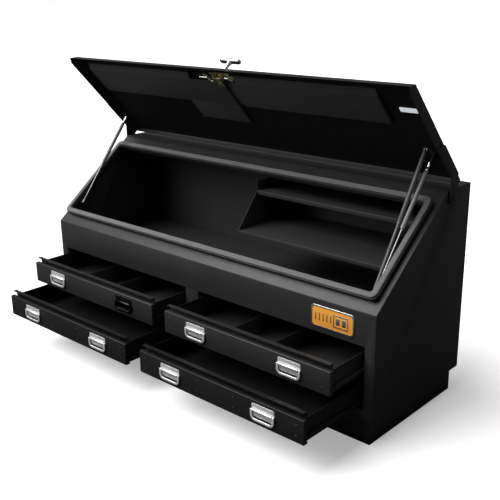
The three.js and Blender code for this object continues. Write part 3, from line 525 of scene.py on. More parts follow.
# %% Rounded copies of sheets
EDGE_RADIUS = 0.0008
CABINET_SHEETS = [
    "plinth", "cabinet_side_left", "cabinet_side_right", "back_panel", "front_fascia", "slant_frame",
    "top_ledge", "shelf_side_panel", "shelf_lower", "shelf_upper", "compartment_deck", "cabinet_floor",
    "bay_partition", "runner_liner_left", "runner_liner_right",
]


def rounded_copy(node, radius=EDGE_RADIUS, segments=2):
    """A free copy of a CAD node with its triangles merged and its edges rounded."""
    pick(nodes[node])
    bpy.ops.object.duplicate(linked=False)
    copy = bpy.context.object
    copy.parent = None
    for key in [key for key in copy.keys() if key.startswith("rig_")]:
        del copy[key]
    select_parts(copy, "vertices", lambda vertex: True)
    bpy.ops.mesh.remove_doubles(threshold=1e-5)
    bpy.ops.mesh.dissolve_limited(angle_limit=math.radians(2))
    stop_editing()
    round_edges(copy, radius, segments)
    return copy


def sheet_for(node, body, finish, slot, radius=EDGE_RADIUS):
    return fit(rounded_copy(node, radius), node + "_sheet", body, finish, slot, node)


for node in CABINET_SHEETS:
    sheet_for(node, "cabinet", BLACK_COAT, "black_powder_coat")
print("cabinet sheets", len(CABINET_SHEETS))

# %% [markdown]
# ## Foam seal
# The seal is a strip of open-cell foam that is glued to the rim. It is soft, so its top is crowned
# and a little uneven. A copy of the CAD ring is divided finely and pushed about by a cloud pattern.

# %% Foam seal
FOAM_UNEVENNESS = 0.0012

seal = rounded_copy("weather_seal", 0.0022, 3)
select_parts(seal, "edges", lambda edge: (edge_ends(seal, edge)[0] - edge_ends(seal, edge)[1]).length > 0.05)
bpy.ops.mesh.subdivide(number_cuts=60)
stop_editing()
clouds = bpy.data.textures.new("foam_clouds", "CLOUDS")
clouds.noise_scale = 0.03
apply_modifier(seal, "DISPLACE", texture=clouds, texture_coords="LOCAL", strength=FOAM_UNEVENNESS,
               mid_level=0.7)
fit(seal, "foam_seal", "cabinet", FOAM, "foam_seal", "weather_seal")
print("seal", len(seal.data.polygons), "faces")

# %% [markdown]
# ## Lid
# The lid is one sheet with four folded edges. It is laid out flat and shut, folded, and then swung
# open with the hinge. The front fold hangs plumb on the shut lid, so it leans out from the sloping
# skin. The front and rear folds are shallower than the side folds, so a block is cut away below
# each of them. The wide inner face gets a deeper, duller black than the folds: painted shade, for
# the inside of the open lid faces forward and down, away from the light. So it has a material of its own.

# %% Lid skin
SHEET = 0.002
FOLD = 0.003
FRONT_FOLD_DEPTH = 0.030
REAR_FOLD_DEPTH = 0.020
OVER = 0.002


def cut(piece, cutter):
    """Takes the cutter's shape away from the piece."""
    apply_modifier(piece, "BOOLEAN", operation="DIFFERENCE", object=cutter, solver="EXACT")
    bpy.data.objects.remove(cutter)


lid_low, lid_high = flat_box("lid_panel", lid_frame)
side_depth = lid_high.z - lid_low.z
skin_front = lid_low.y + FRONT_FOLD_DEPTH * math.tan(SLOPE)
lid = block((lid_low.x, skin_front, lid_low.z), lid_high)
without_sides(lid, [(0, 0, -1)])
select_parts(lid, "vertices", lambda v: v.co.y < skin_front + NEAR and v.co.z < lid_low.z + NEAR)
bpy.ops.transform.translate(value=(0, -side_depth * math.tan(SLOPE), 0))
stop_editing()
fold_edges(lid, FOLD)
thicken(lid, SHEET)
cut(lid, block(
    (lid_low.x + SHEET, lid_low.y - side_depth, lid_low.z - OVER),
    (lid_high.x - SHEET, lid_low.y + FOLD + OVER, lid_high.z - FRONT_FOLD_DEPTH),
))
cut(lid, block(
    (lid_low.x + SHEET, lid_high.y - FOLD - OVER, lid_low.z - OVER),
    (lid_high.x - SHEET, lid_high.y + OVER, lid_high.z - REAR_FOLD_DEPTH),
))
corner_cut = block((lid_low.x - OVER, lid_low.y - side_depth, lid_low.z - OVER),
                   (lid_high.x + OVER, skin_front, lid_high.z - FRONT_FOLD_DEPTH))
select_parts(corner_cut, "vertices", lambda v: v.co.y > skin_front - NEAR and v.co.z > lid_low.z)
bpy.ops.transform.translate(value=(0, lid_low.y - skin_front, 0))
stop_editing()
cut(lid, corner_cut)
fit(lid, "lid_skin", "lid", BLACK_COAT, "black_powder_coat", "lid_panel")
# The inner face gets the darker copy of the coat: painted shade.
lid.data.materials.append(SHADED_LID_COAT.material)
lid.active_material_index = 1
select_parts(lid, "polygons", lambda face: face.normal.z < -0.9 and face.center.z > lid_high.z - FOLD)
bpy.ops.object.material_slot_assign()
stop_editing()
into(lid, lid_frame)
print("lid", round(lid_high.x - lid_low.x, 3), "by", round(lid_high.y - lid_low.y, 3))

# %% [markdown]
# ## Lid stiffener
# A shallow hat section is spot-welded across the lid to keep the skin from drumming, with a leg
# that runs to the hinge side. Its front side is bevelled, and its left end is flat where it crosses
# the seal. Each part starts as a folded sheet that is open towards the skin. Its coat is drawn a
# lighter grey than the lid's black: painted light, on what is the same black powder coat.

# %% Lid stiffener
THIN_SHEET = 0.0015
STIFFENER_FOLD = 0.0025
BEVEL_RUN = 0.031
LEG_WIDTH = 0.281
SPLIT = 0.036
CUTOUT = (-0.183, 0.068)
RIM_WALL = 0.840

stiff_low, stiff_high = flat_box("lid_stiffener", lid_frame)
stiff_rear = skin_front + 0.209
stiff_front = stiff_low.y + BEVEL_RUN


def hat(x0, x1):
    piece = block((x0, stiff_low.y, stiff_low.z), (x1, stiff_rear, stiff_high.z))
    without_sides(piece, [(0, 0, 1)])
    select_parts(piece, "vertices", lambda v: v.co.y < stiff_low.y + NEAR and v.co.z < stiff_low.z + NEAR)
    bpy.ops.transform.translate(value=(0, BEVEL_RUN, 0))
    stop_editing()
    fold_edges(piece, STIFFENER_FOLD)
    thicken(piece, THIN_SHEET)
    return piece


leg = block((-LEG_WIDTH, stiff_rear - OVER, stiff_low.z), (0, stiff_high.y, stiff_high.z))
without_sides(leg, [(0, 0, 1), (0, -1, 0)])
fold_edges(leg, STIFFENER_FOLD)
thicken(leg, THIN_SHEET)
flat_ends = [
    block((x0, stiff_front, stiff_high.z - THIN_SHEET), (x1, stiff_rear, stiff_high.z))
    for x0, x1 in ((-OVER, SPLIT + OVER), (stiff_low.x, OVER - RIM_WALL))
]
for flat_end in flat_ends:
    round_edges(flat_end, THIN_SHEET / 4)
stiffener = joined([hat(-RIM_WALL, 0), hat(SPLIT, stiff_high.x), leg, *flat_ends])
cut(stiffener, block((CUTOUT[0], skin_front, stiff_low.z - OVER),
                     (CUTOUT[1], stiff_front, stiff_high.z + OVER)))
into(stiffener, lid_frame)
# The stiffener gets the lighter copy of the coat: painted light.
fit(stiffener, "lid_stiffener_sheet", "lid", LIT_STIFFENER_COAT, "black_powder_coat", "lid_stiffener")
print("stiffener", round(stiff_high.x - stiff_low.x, 3), "m wide")

# %% [markdown]
# ## Hinge arms and bolts
# The lid hangs on two cranked flat bars. Each turns on a bolt with a broad washer, which is drawn
# as a turned disc. The bars are thick, so their edges get a larger radius than the sheets.

# %% Hinge arms and bolts
ARM_EDGE = 0.0012
WASHER_RADIUS = 0.016
WASHER_THICKNESS = 0.0016
WASHER_EDGE = 0.0005

for side, name in ((-1, "left"), (1, "right")):
    sheet_for("hinge_arm_" + name, "lid", BLACK_COAT, "black_powder_coat", ARM_EDGE)
    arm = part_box("hinge_arm_" + name)
    bolt = rounded_copy("hinge_bolt_" + name, 0.0006)
    face = arm[1].x if side > 0 else arm[0].x
    washer = turned([
        (0, WASHER_RADIUS - WASHER_EDGE), (WASHER_EDGE, WASHER_RADIUS),
        (WASHER_THICKNESS, WASHER_RADIUS - WASHER_EDGE),
    ], (face, HINGE.y, HINGE.z), (side, 0, 0), 40)
    fit(joined([bolt, washer]), "hinge_bolt_" + name + "_set", "cabinet", BLACK_COAT, "black_powder_coat",
        "hinge_bolt_" + name)
print("hinge arms and bolts done")

# %% [markdown]
# ## Drawer fronts
# A front is a shallow pan: a face with its edges folded back. The lower fold reaches to the box
# behind it and carries it. One front is modelled, and the others are copies of it.

# %% Drawer fronts
DRAWERS = ["top_left", "top_right", "bottom_left", "bottom_right"]
FRONT_FOLD = 0.0028
FRONT_PAN_DEPTH = 0.017


def moved_to(piece, model_node, node):
    """A copy of a piece that was modelled at one node's place, moved to a like node's place."""
    return twin(piece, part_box(node)[0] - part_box(model_node)[0])


def drawer_coat_and_shade(drawer):
    """The lower drawers get a deeper black than the upper ones: painted shade on the same coat."""
    return SHADED_LOWER_DRAWER_COAT if drawer.startswith("bottom") else DRAWER_COAT


def front_pan(node):
    low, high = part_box(node)
    pan = block(low, (high.x, low.y + FRONT_PAN_DEPTH, high.z))
    without_sides(pan, [(0, 1, 0)])
    fold_edges(pan, FRONT_FOLD)
    thicken(pan, THIN_SHEET)
    shelf = block((low.x + FRONT_FOLD, low.y + FRONT_PAN_DEPTH - OVER, low.z),
                  (high.x - FRONT_FOLD, high.y, low.z + THIN_SHEET))
    round_edges(shelf, THIN_SHEET / 4)
    return joined([pan, shelf])


model_front = front_pan("drawer_front_top_left")
for drawer in DRAWERS:
    node = "drawer_front_" + drawer
    fit(moved_to(model_front, "drawer_front_top_left", node), node + "_pan", "drawer_" + drawer,
        drawer_coat_and_shade(drawer), "drawer_powder_coat", node)
bpy.data.objects.remove(model_front)
print("drawer fronts", len(DRAWERS))

# %% [markdown]
# ## Drawer boxes
# The box is a folded tray. Its front wall stands up behind the front and is folded forward into a
# lip that keeps dust out. A runner strip on each side slides in a channel of the cabinet. The tray
# is a folded sheet without its top, and the lip is a strip with one fold.

# %% Drawer boxes
LIP_DEPTH = 0.020
RUNNER_REACH = 0.009
RUNNER_HEIGHT = 0.010
RUNNER_RISE = 0.022
TRAY_TOP = 0.090
BOX_LIFT = 0.003


def drawer_tray(box_node, front_node):
    low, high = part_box(box_node)
    front_wall = low.y + LIP_DEPTH - THIN_SHEET
    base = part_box(front_node)[0].z + BOX_LIFT
    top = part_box(front_node)[0].z + TRAY_TOP
    x0 = low.x + RUNNER_REACH
    x1 = high.x - RUNNER_REACH
    tray = folded_sheet((x0, front_wall, base), (x1, high.y, top), [(0, 0, 1)], 0.002, THIN_SHEET)
    lip = block((x0, low.y, top - OVER), (x1, front_wall + THIN_SHEET, high.z))
    without_sides(lip, [(0, -1, 0), (0, 0, -1), (1, 0, 0), (-1, 0, 0)])
    fold_edges(lip, 0.0025)
    thicken(lip, THIN_SHEET)
    pieces = [tray, lip]
    for start, end in ((low.x, x0 + OVER), (x1 - OVER, high.x)):
        runner = block((start, front_wall, base + RUNNER_RISE - RUNNER_HEIGHT / 2),
                       (end, high.y, base + RUNNER_RISE + RUNNER_HEIGHT / 2))
        round_edges(runner, 0.001)
        pieces.append(runner)
    return joined(pieces)


model_tray = drawer_tray("drawer_box_top_left", "drawer_front_top_left")
for drawer in DRAWERS:
    node = "drawer_box_" + drawer
    fit(moved_to(model_tray, "drawer_box_top_left", node), node + "_tray", "drawer_" + drawer,
        drawer_coat_and_shade(drawer), "drawer_powder_coat", node)
    if drawer.startswith("top"):
        for number in ("_1", "_2"):
            sheet_for("drawer_divider_" + drawer + number, "drawer_" + drawer, DRAWER_COAT,
                      "drawer_powder_coat", THIN_SHEET / 4)
bpy.data.objects.remove(model_tray)
print("drawer boxes", len(DRAWERS))

# %% [markdown]
# ## Rivets
# The runner brackets are riveted to the front in four pairs. A rivet head is a low dome on a
# flange, turned with few sides because there are many. The eight heads of a front are one piece.

# %% Rivets
RIVET_PROFILE = [(0, 0.0034), (0.0006, 0.0034), (0.0013, 0.0028), (0.0017, 0.0016)]
RIVET_COLUMNS = (-0.368, -0.089, 0.089, 0.368)
RIVET_HALF_PITCH = 0.0205

for drawer in DRAWERS:
    low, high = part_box("drawer_front_" + drawer)
    middle = (low + high) / 2
    heads = [
        turned(RIVET_PROFILE, (middle.x + column, low.y + NEAR, middle.z + rise), (0, -1, 0), 12)
        for column in RIVET_COLUMNS for rise in (-RIVET_HALF_PITCH, RIVET_HALF_PITCH)
    ]
    fit(joined(heads), "rivets_" + drawer, "drawer_" + drawer, DRAWER_COAT, "drawer_powder_coat")
print("rivets", len(DRAWERS) * len(RIVET_COLUMNS) * 2)

# %% [markdown]
# ## Handles
# A chest handle is two pressings. The plate's sheet is curled forward into a barrel, and the bail's
# two pins turn in it. The bail is a flat bar with rounded edges, bent into a D. The plate is a
# block with its corners rounded, the curl is a strip spun about the barrel's line, and the bail is
# a section that is drawn out straight and spun round each corner.

# %% Handle plate and curl
PLATE_CORNER = 0.006
PLATE_EDGE = 0.0005
BARREL_INSET = 0.008
CURL_RADIUS = 0.0045
CURL_WALL = 0.0017
CURL_ANGLE = math.radians(300)
CURL_STEPS = 20
MODEL_HANDLE = "top_left_1"


def round_along(piece, axis, radius, segments):
    """Rounds the edges that run along an axis: 0, 1 or 2."""
    def runs_along(edge):
        start, end = edge_ends(piece, edge)
        return abs((end - start)[axis]) > NEAR
    select_parts(piece, "edges", runs_along)
    bpy.ops.mesh.bevel(offset=radius, segments=segments, affect="EDGES")
    stop_editing()


def rounded_plate(low, high, axis, corner, edge, segments=5):
    """A flat plate with rounded corners, which run along the given axis."""
    plate = block(low, high)
    round_along(plate, axis, corner, segments)
    round_edges(plate, edge, 3)
    return plate


plate_low, plate_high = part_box("handle_plate_" + MODEL_HANDLE)
bail_low, bail_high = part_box("handle_bail_" + MODEL_HANDLE)
hinge_line = Vector(joints["bail_" + MODEL_HANDLE + "_swing"]["pos_m"])
plate_face = plate_high.y - SHEET
barrel_half = (plate_high.x - plate_low.x) / 2 - BARREL_INSET

plate = rounded_plate((plate_low.x, plate_face, plate_low.z), plate_high, 1, PLATE_CORNER, PLATE_EDGE)
curl = block(
    (hinge_line.x - barrel_half, hinge_line.y + CURL_RADIUS - CURL_WALL, hinge_line.z - 0.0004),
    (hinge_line.x + barrel_half, hinge_line.y + CURL_RADIUS, hinge_line.z),
)
select_parts(curl, "polygons", lambda face: face.normal.z < -0.9)
bpy.ops.mesh.spin(steps=CURL_STEPS, angle=CURL_ANGLE, center=hinge_line, axis=(1, 0, 0))
stop_editing()
outward(curl)
round_edges(curl, 0.0004, 2, 50)
model_plate = joined([plate, curl])
print("handle plate", len(model_plate.data.polygons), "faces")

# %% Bail
BAR_WIDTH = 0.009
BAR_THICKNESS = 0.005
BAR_EDGE = 0.0019
BAIL_CORNER = 0.020
CORNER_STEPS = 10
PIN_RADIUS = 0.0023


def bail_bar():
    """A D of flat bar: down one side, round the corner, across, round the other corner and up."""
    half = (bail_high.x - bail_low.x) / 2 - BAR_WIDTH / 2
    bend = BAIL_CORNER - BAR_WIDTH / 2
    x0 = hinge_line.x - half
    x1 = hinge_line.x + half
    bottom = bail_low.z + BAR_WIDTH / 2
    bpy.ops.object.select_all(action="DESELECT")
    bpy.ops.mesh.primitive_plane_add(size=1, location=(x0, hinge_line.y, bail_high.z))
    bar = bpy.context.object
    bar.scale = (BAR_WIDTH, BAR_THICKNESS, 1)
    bpy.ops.object.transform_apply(location=True, rotation=True, scale=True)
    select_parts(bar, "vertices", lambda vertex: True)
    bpy.ops.mesh.bevel(offset=BAR_EDGE, segments=4, affect="VERTICES")
    bpy.context.tool_settings.mesh_select_mode = (False, False, True)
    bpy.ops.mesh.select_all(action="SELECT")
    bpy.ops.mesh.extrude_region_move(
        TRANSFORM_OT_translate={"value": (0, 0, bottom + bend - bail_high.z)})
    bpy.ops.mesh.spin(steps=CORNER_STEPS, angle=math.pi / 2, center=(x0 + bend, hinge_line.y, bottom + bend),
                      axis=(0, 1, 0))
    bpy.ops.mesh.extrude_region_move(TRANSFORM_OT_translate={"value": (x1 - x0 - 2 * bend, 0, 0)})
    bpy.ops.mesh.spin(steps=CORNER_STEPS, angle=math.pi / 2, center=(x1 - bend, hinge_line.y, bottom + bend),
                      axis=(0, 1, 0))
    bpy.ops.mesh.extrude_region_move(
        TRANSFORM_OT_translate={"value": (0, 0, bail_high.z - bottom - bend)})
    stop_editing()
    outward(bar)
    round_edges(bar, 0.0012, 3, 60)
    return bar


pins = [
    turned([(0, PIN_RADIUS), (0.0095, PIN_RADIUS), (0.0103, PIN_RADIUS * 0.7)],
           (hinge_line.x + side * (barrel_half + 0.0016), hinge_line.y, hinge_line.z), (-side, 0, 0), 20)
    for side in (-1, 1)
]
model_bail = joined([bail_bar(), *pins])
print("bail", len(model_bail.data.polygons), "faces")

# %% Copies of the handles
DARK_HANDLE = "top_left_2"

for drawer in DRAWERS:
    for number in ("_1", "_2"):
        handle = drawer + number
        dark = handle == DARK_HANDLE
        finish = DARK_CHROME if dark else CHROME
        slot = "black_chrome" if dark else "chrome"
        fit(moved_to(model_plate, "handle_plate_" + MODEL_HANDLE, "handle_plate_" + handle),
            "handle_plate_" + handle + "_pressing", "drawer_" + drawer, finish, slot, "handle_plate_" + handle)
        fit(moved_to(model_bail, "handle_bail_" + MODEL_HANDLE, "handle_bail_" + handle),
            "handle_bail_" + handle + "_bar", "bail_" + handle, finish, slot, "handle_bail_" + handle)
bpy.data.objects.remove(model_plate)
bpy.data.objects.remove(model_bail)
print("handles", len(DRAWERS) * 2)

# %% [markdown]
# ## Gas struts and lid stay
# A gas strut is a polished rod in an enamelled tube. The tube is rolled in over the gland at the
# rod's end, and closed with a cap that carries a threaded neck. A socket clips over a ball stud at
# each end. The stay beside the right strut is plainer, one tube that slides in another. All of them
# are turned about their axis.

# %% Strut and stay members
SOCKET_RADIUS = 0.0065
STUD_RADIUS = 0.0038
STUD_HEAD = 0.0052
NECK_RADIUS = 0.0042
RING_RADIUS = 0.0062
TUBE_RADIUS = 0.0080
GROOVE_RADIUS = 0.0076
GLAND = 0.0085  # from the tube's open end to its rolled groove
CAP = -0.034  # the tube's closed end, from the head
ROD_RADIUS = 0.0040
EYE_RADIUS = 0.007
STAY_TUBE_RADIUS = 0.0065
strut_ends = {}


def reach_along(node, place, direction):
    """How far a CAD node reaches along a line: its nearest and farthest distance."""
    distances = [(vertex.co - place).dot(direction) for vertex in nodes[node].data.vertices]
    return min(distances), max(distances)


def socket(place, direction):
    """A ball socket, round at its end and tapered to the neck, that starts behind the stud."""
    return turned([
        (-0.0062, 0.0026), (-0.0052, 0.0048), (-0.003, 0.0062), (0, SOCKET_RADIUS), (0.004, 0.0063),
        (0.008, 0.0054), (0.016, 0.005), (0.019, 0.0046),
    ], place, direction, 24)


def stud(place, towards_wall):
    """The ball stud's shank and its flange, on the side of the wall that it is fixed to."""
    return turned([
        (-0.0058, 0.0030), (-0.0052, STUD_RADIUS), (0.0045, STUD_RADIUS), (0.005, STUD_HEAD),
        (0.0072, STUD_HEAD), (0.0076, 0.0046),
    ], place, (towards_wall, 0, 0), 20)


for side, name in ((-1, "left"), (1, "right")):
    head = Vector(joints["strut_" + name + "_head"]["pos_m"])
    axis = Vector(joints["strut_" + name + "_stroke"]["axis"])
    tube_from = reach_along("strut_cylinder_" + name, head, axis)[0]
    foot_at, rod_to = reach_along("strut_rod_" + name, head, axis)
    foot = head + axis * (foot_at + EYE_RADIUS)
    strut_ends[name] = foot, head
    groove = tube_from + GLAND
    tube = turned([
        (tube_from, 0.0052), (tube_from + 0.0005, 0.0066), (tube_from + 0.003, 0.0074),
        (tube_from + 0.005, TUBE_RADIUS), (groove, TUBE_RADIUS), (groove + 0.001, GROOVE_RADIUS),
        (groove + 0.003, GROOVE_RADIUS), (groove + 0.004, TUBE_RADIUS), (CAP - 0.006, TUBE_RADIUS),
        (CAP - 0.003, 0.0077), (CAP - 0.001, 0.0068), (CAP, 0.0050),
    ], head, axis, 40)
    fit(tube, "strut_tube_" + name, "strut_cylinder_" + name, STRUT_PAINT, "stay_paint",
        "strut_cylinder_" + name)
    ring = turned([
        (CAP - 0.0004, 0.0056), (CAP + 0.0004, RING_RADIUS), (CAP + 0.003, RING_RADIUS),
        (CAP + 0.0036, 0.0056), (CAP + 0.0037, NECK_RADIUS), (-0.014, NECK_RADIUS),
    ], head, axis, 28)
    top_socket = socket(head, -axis)
    fit(joined([ring, top_socket]), "strut_top_fitting_" + name, "strut_cylinder_" + name, BRIGHT_CHROME,
        "chrome")
    rod = turned([(foot_at + 0.022, ROD_RADIUS), (rod_to - 0.0006, ROD_RADIUS), (rod_to, 0.0034)],
                 head, axis, 24)
    fit(joined([rod, socket(foot, axis)]), "strut_rod_and_socket_" + name, "strut_rod_" + name,
        ROD_CHROME, "chrome", "strut_rod_" + name)
    fit(stud(head, side), "strut_top_stud_" + name, "lid", BRIGHT_CHROME, "chrome")
    fit(stud(foot, side), "strut_foot_stud_" + name, "cabinet", BRIGHT_CHROME, "chrome")
    print("strut", name, "length", round(-foot_at, 3))

stay_foot = Vector(joints["stay_foot"]["pos_m"])
stay_axis = Vector(joints["stay_stroke"]["axis"])
lower_from, lower_to = reach_along("stay_lower_tube", stay_foot, stay_axis)
upper_from, upper_to = reach_along("stay_upper_sleeve", stay_foot, stay_axis)


def flattened_end(place, direction, near, far, bar_radius):
    """The tube's end, pressed flat round the pin."""
    end = turned([(near, bar_radius * 0.55), (near + 0.003, bar_radius * 0.9), (far - 0.004, bar_radius),
                  (far, bar_radius)], place, direction, 28)
    select_parts(end, "vertices", lambda vertex: (vertex.co - place).dot(direction) < far - 0.006)
    bpy.ops.transform.resize(value=(0.55, 1, 1), center_override=place)
    stop_editing()
    return end


lower = turned([(0.016, STAY_TUBE_RADIUS), (lower_to - 0.0005, STAY_TUBE_RADIUS), (lower_to, 0.006)],
               stay_foot, stay_axis, 32)
lower_end = flattened_end(stay_foot, stay_axis, lower_from, 0.017, STAY_TUBE_RADIUS)
fit(joined([lower, lower_end]), "stay_tube", "stay_lower_tube", STAY_PAINT, "stay_paint", "stay_lower_tube")
upper = turned([
    (upper_from, 0.0068), (upper_from + 0.0004, 0.0078), (upper_from + 0.002, TUBE_RADIUS),
    (upper_from + 0.007, TUBE_RADIUS), (upper_from + 0.008, GROOVE_RADIUS),
    (upper_from + 0.0095, GROOVE_RADIUS), (upper_from + 0.0105, TUBE_RADIUS),
    (upper_to - 0.024, TUBE_RADIUS), (upper_to - 0.022, GROOVE_RADIUS),
], stay_foot, stay_axis, 32)
stay_top = stay_foot + stay_axis * (upper_to - EYE_RADIUS)
upper_end = flattened_end(stay_top, -stay_axis, -EYE_RADIUS, 0.018, 0.0078)
fit(joined([upper, upper_end]), "stay_sleeve", "stay_upper_sleeve", STAY_PAINT, "stay_paint",
    "stay_upper_sleeve")
for name, place, body in (("foot", stay_foot, "cabinet"), ("top", stay_top, "lid")):
    pin = turned([(-0.0072, 0.0022), (-0.0066, 0.0036), (0.0066, 0.0036), (0.0072, 0.0022)],
                 place, (1, 0, 0), 20)
    fit(pin, "stay_" + name + "_pin", body, ZINC, "zinc")
print("stay length", round(upper_to - lower_from, 3))

# %% [markdown]
# ## Brackets
# A flat plate on the rim's wall carries each strut's foot, and a folded bracket under the lid
# carries its head. They are pieces of the same sheet, laid out in the slope's or the lid's
# directions.

# %% Brackets
BRACKET = 0.002
BRACKET_FOLD = 0.0018
BRACKET_EDGE = 0.0006
slope_back = slope_frame.inverted()
lid_back = lid_frame.inverted()


def angle_bracket(low, high, open_sides, directions):
    """An L of sheet: a block without the sides that are left open."""
    bracket = folded_sheet(low, high, open_sides, BRACKET_FOLD, BRACKET)
    round_edges(bracket, 0.0004, 2, 50)
    into(bracket, directions)
    return bracket


lid_inside = flat_box("lid_stiffener", lid_frame)[1].z
FOOT_HALF = 0.015
HEAD_HALF = 0.012
FOOT_PLATE_BELOW = 0.016
FOOT_PLATE_ABOVE = 0.010
HEAD_BRACKET_BELOW = 0.008
WALL_GAP = 0.0003
HEAD_TONGUE = (0.0018, 0.022)  # from the rim's wall to the bracket's outer and inner sides

for side, name in ((-1, "left"), (1, "right")):
    foot = slope_back @ strut_ends[name][0]
    head = lid_back @ strut_ends[name][1]
    wall = sorted((side * (RIM_WALL - WALL_GAP), side * (RIM_WALL - WALL_GAP - BRACKET)))
    foot_plate = block((wall[0], foot.y - FOOT_HALF, foot.z - FOOT_PLATE_BELOW),
                       (wall[1], foot.y + FOOT_HALF, foot.z + FOOT_PLATE_ABOVE))
    round_edges(foot_plate, BRACKET_EDGE)
    into(foot_plate, slope_frame)
    fit(foot_plate, "strut_foot_bracket_" + name, "cabinet", BLACK_COAT, "black_powder_coat")
    across = sorted(side * (RIM_WALL - inset) for inset in HEAD_TONGUE)
    open_sides = [(-side, 0, 0), (0, -1, 0), (0, 1, 0), (0, 0, -1)]
    head_bracket = angle_bracket((across[0], head.y - HEAD_HALF, head.z - HEAD_BRACKET_BELOW),
                                 (across[1], head.y + HEAD_HALF, lid_inside), open_sides, lid_frame)
    fit(head_bracket, "strut_head_bracket_" + name, "lid", BLACK_COAT, "black_powder_coat")
print("strut brackets done")

# %% [markdown]
# ## Latch
# The latch is worked by a T handle outside. Its spindle goes through a pressed dish in the lid and
# turns a cam that draws the sliding bolt. Inside, a bent rod and a lever lie beside the cam in the
# stiffener's cutout. The T is a cast bar with full round edges, so it is a block with a wide bevel.
# The rod is a disc that is drawn out and spun round its two bends.

# %% Latch fittings
T_BAR = 0.014
T_CORNER = 0.0125
T_EDGE = 0.006
T_TAPER_FROM = 0.030
T_TAPER = 0.86
DISH_RADIUS = 0.034
SPINDLE_RADIUS = 0.0072
CAM_LIFT = 0.006  # from the crank pin's end to the cam
CRANK_OFFSET = 0.00707
SQUARE_TO_LID = (0, 0, 1)

for node, body, finish in (("latch_plate", "lid", ZINC), ("latch_bolt", "latch_bolt", ZINC),
                           ("latch_keeper", "cabinet", BLACK_ZINC)):
    fit(rounded_copy(node, 0.0006), node + "_zinc", body, finish, "zinc", node)


def fit_in_lid(piece, *description):
    """Swings a piece that was laid out in the shut lid to its place, and fits it."""
    into(piece, lid_frame)
    fit(piece, *description)


handle_low, handle_high = flat_box("latch_handle", lid_frame)
lid_top = lid_high.z
lid_inner_face = lid_top - SHEET
spindle_at = Vector((0, (handle_low.y + handle_high.y) / 2, 0))
t_low = handle_high.z - T_BAR
grip = block((handle_low.x, handle_low.y, t_low), handle_high)
round_along(grip, 2, T_CORNER, 8)
round_edges(grip, T_EDGE, 5, 60)
select_parts(grip, "vertices", lambda vertex: abs(vertex.co.x) > T_TAPER_FROM)
bpy.ops.transform.resize(value=(1, T_TAPER, 1), center_override=spindle_at)
stop_editing()
neck = turned([
    (lid_top + 0.0042, 0.0105), (lid_top + 0.010, 0.0082), (lid_top + 0.030, 0.0070),
    (t_low - 0.012, 0.0080), (t_low - 0.003, 0.0112), (t_low + 0.004, 0.0125),
], spindle_at, SQUARE_TO_LID, 36)
fit_in_lid(joined([grip, neck]), "latch_t_handle", "latch_handle", BRIGHT_CHROME, "chrome")

cam_low = handle_low.z + CAM_LIFT
cam = turned([
    (cam_low, 0.0125), (cam_low + 0.0006, 0.014), (cam_low + 0.0028, 0.014), (cam_low + 0.0034, 0.0125),
    (cam_low + 0.0036, 0.0078), (cam_low + 0.0060, SPINDLE_RADIUS), (lid_inner_face - 0.004, SPINDLE_RADIUS),
    (lid_inner_face + 0.001, 0.0050), (lid_top + 0.006, 0.0050),
], spindle_at, SQUARE_TO_LID, 36)
crank = turned([(handle_low.z, 0.0020), (handle_low.z + 0.0006, 0.0025), (cam_low + 0.001, 0.0025)],
               spindle_at + Vector((CRANK_OFFSET, CRANK_OFFSET, 0)), SQUARE_TO_LID, 16)
fit_in_lid(joined([cam, crank]), "latch_cam", "latch_handle", BRASS, "zinc", "latch_handle")

dish = turned([
    (lid_top + 0.0002, DISH_RADIUS), (lid_top + 0.0016, DISH_RADIUS), (lid_top + 0.0030, DISH_RADIUS * 0.93),
    (lid_top + 0.0030, DISH_RADIUS * 0.80), (lid_top + 0.0012, DISH_RADIUS * 0.70),
    (lid_top + 0.0012, 0.017), (lid_top + 0.0040, 0.014), (lid_top + 0.0040, 0.0056),
    (lid_top + 0.0002, 0.0056),
], spindle_at, SQUARE_TO_LID, 48)
fit_in_lid(dish, "latch_escutcheon", "lid", CHROME, "chrome")
print("T handle stands", round(handle_high.z - lid_top, 3), "m off the lid")

# %% Bent rod, lever and lock body
LOCK_ROD_RADIUS = 0.0036
UPPER_ROD_RADIUS = 0.0042
ROD_LEVEL = 0.0265
ON_SKIN = 0.0357


def bent_rod(start, turns, radius, sides=16):
    """A rod in the plane of the lid: straight runs, each followed by a bend to the next direction."""
    place = Vector(start)
    heading = Vector((1, 0, 0))
    bpy.ops.object.select_all(action="DESELECT")
    bpy.ops.mesh.primitive_circle_add(vertices=sides, radius=radius, fill_type="NGON", location=place,
                                      rotation=(0, math.pi / 2, 0))
    piece = bpy.context.object
    bpy.ops.object.transform_apply(location=True, rotation=True, scale=True)
    select_parts(piece, "polygons", lambda face: True)
    for run, bend, bend_radius in turns:
        step = heading * run
        bpy.ops.mesh.extrude_region_move(TRANSFORM_OT_translate={"value": step})
        place = place + step
        if bend:
            side = Vector((-heading.y, heading.x, 0)) * math.copysign(1, bend)
            centre = place + side * bend_radius
            bpy.ops.mesh.spin(steps=6, angle=abs(bend), center=centre, axis=(0, 0, -math.copysign(1, bend)))
            swing = Matrix.Rotation(bend, 3, "Z")
            place = centre + swing @ (place - centre)
            heading = swing @ heading
    stop_editing()
    outward(piece)
    return piece


def flat_link(points, low, high):
    """A flat lever: a plate between two heights, as wide as given at each end."""
    (x0, y0, half0), (x1, y1, half1) = points
    along = Vector((x1 - x0, y1 - y0, 0))
    length = along.length
    link = block((0, -half0, low), (length, half0, high))
    select_parts(link, "vertices", lambda vertex: vertex.co.x > length / 2)
    bpy.ops.transform.resize(value=(1, half1 / half0, 1), center_override=(length, 0, 0))
    stop_editing()
    round_along(link, 2, min(half0, half1) * 0.9, 5)
    round_edges(link, 0.0004, 2, 60)
    into(link, Matrix.Translation((x0, y0, 0)) @ Matrix.Rotation(math.atan2(along.y, along.x), 4, "Z"))
    return link


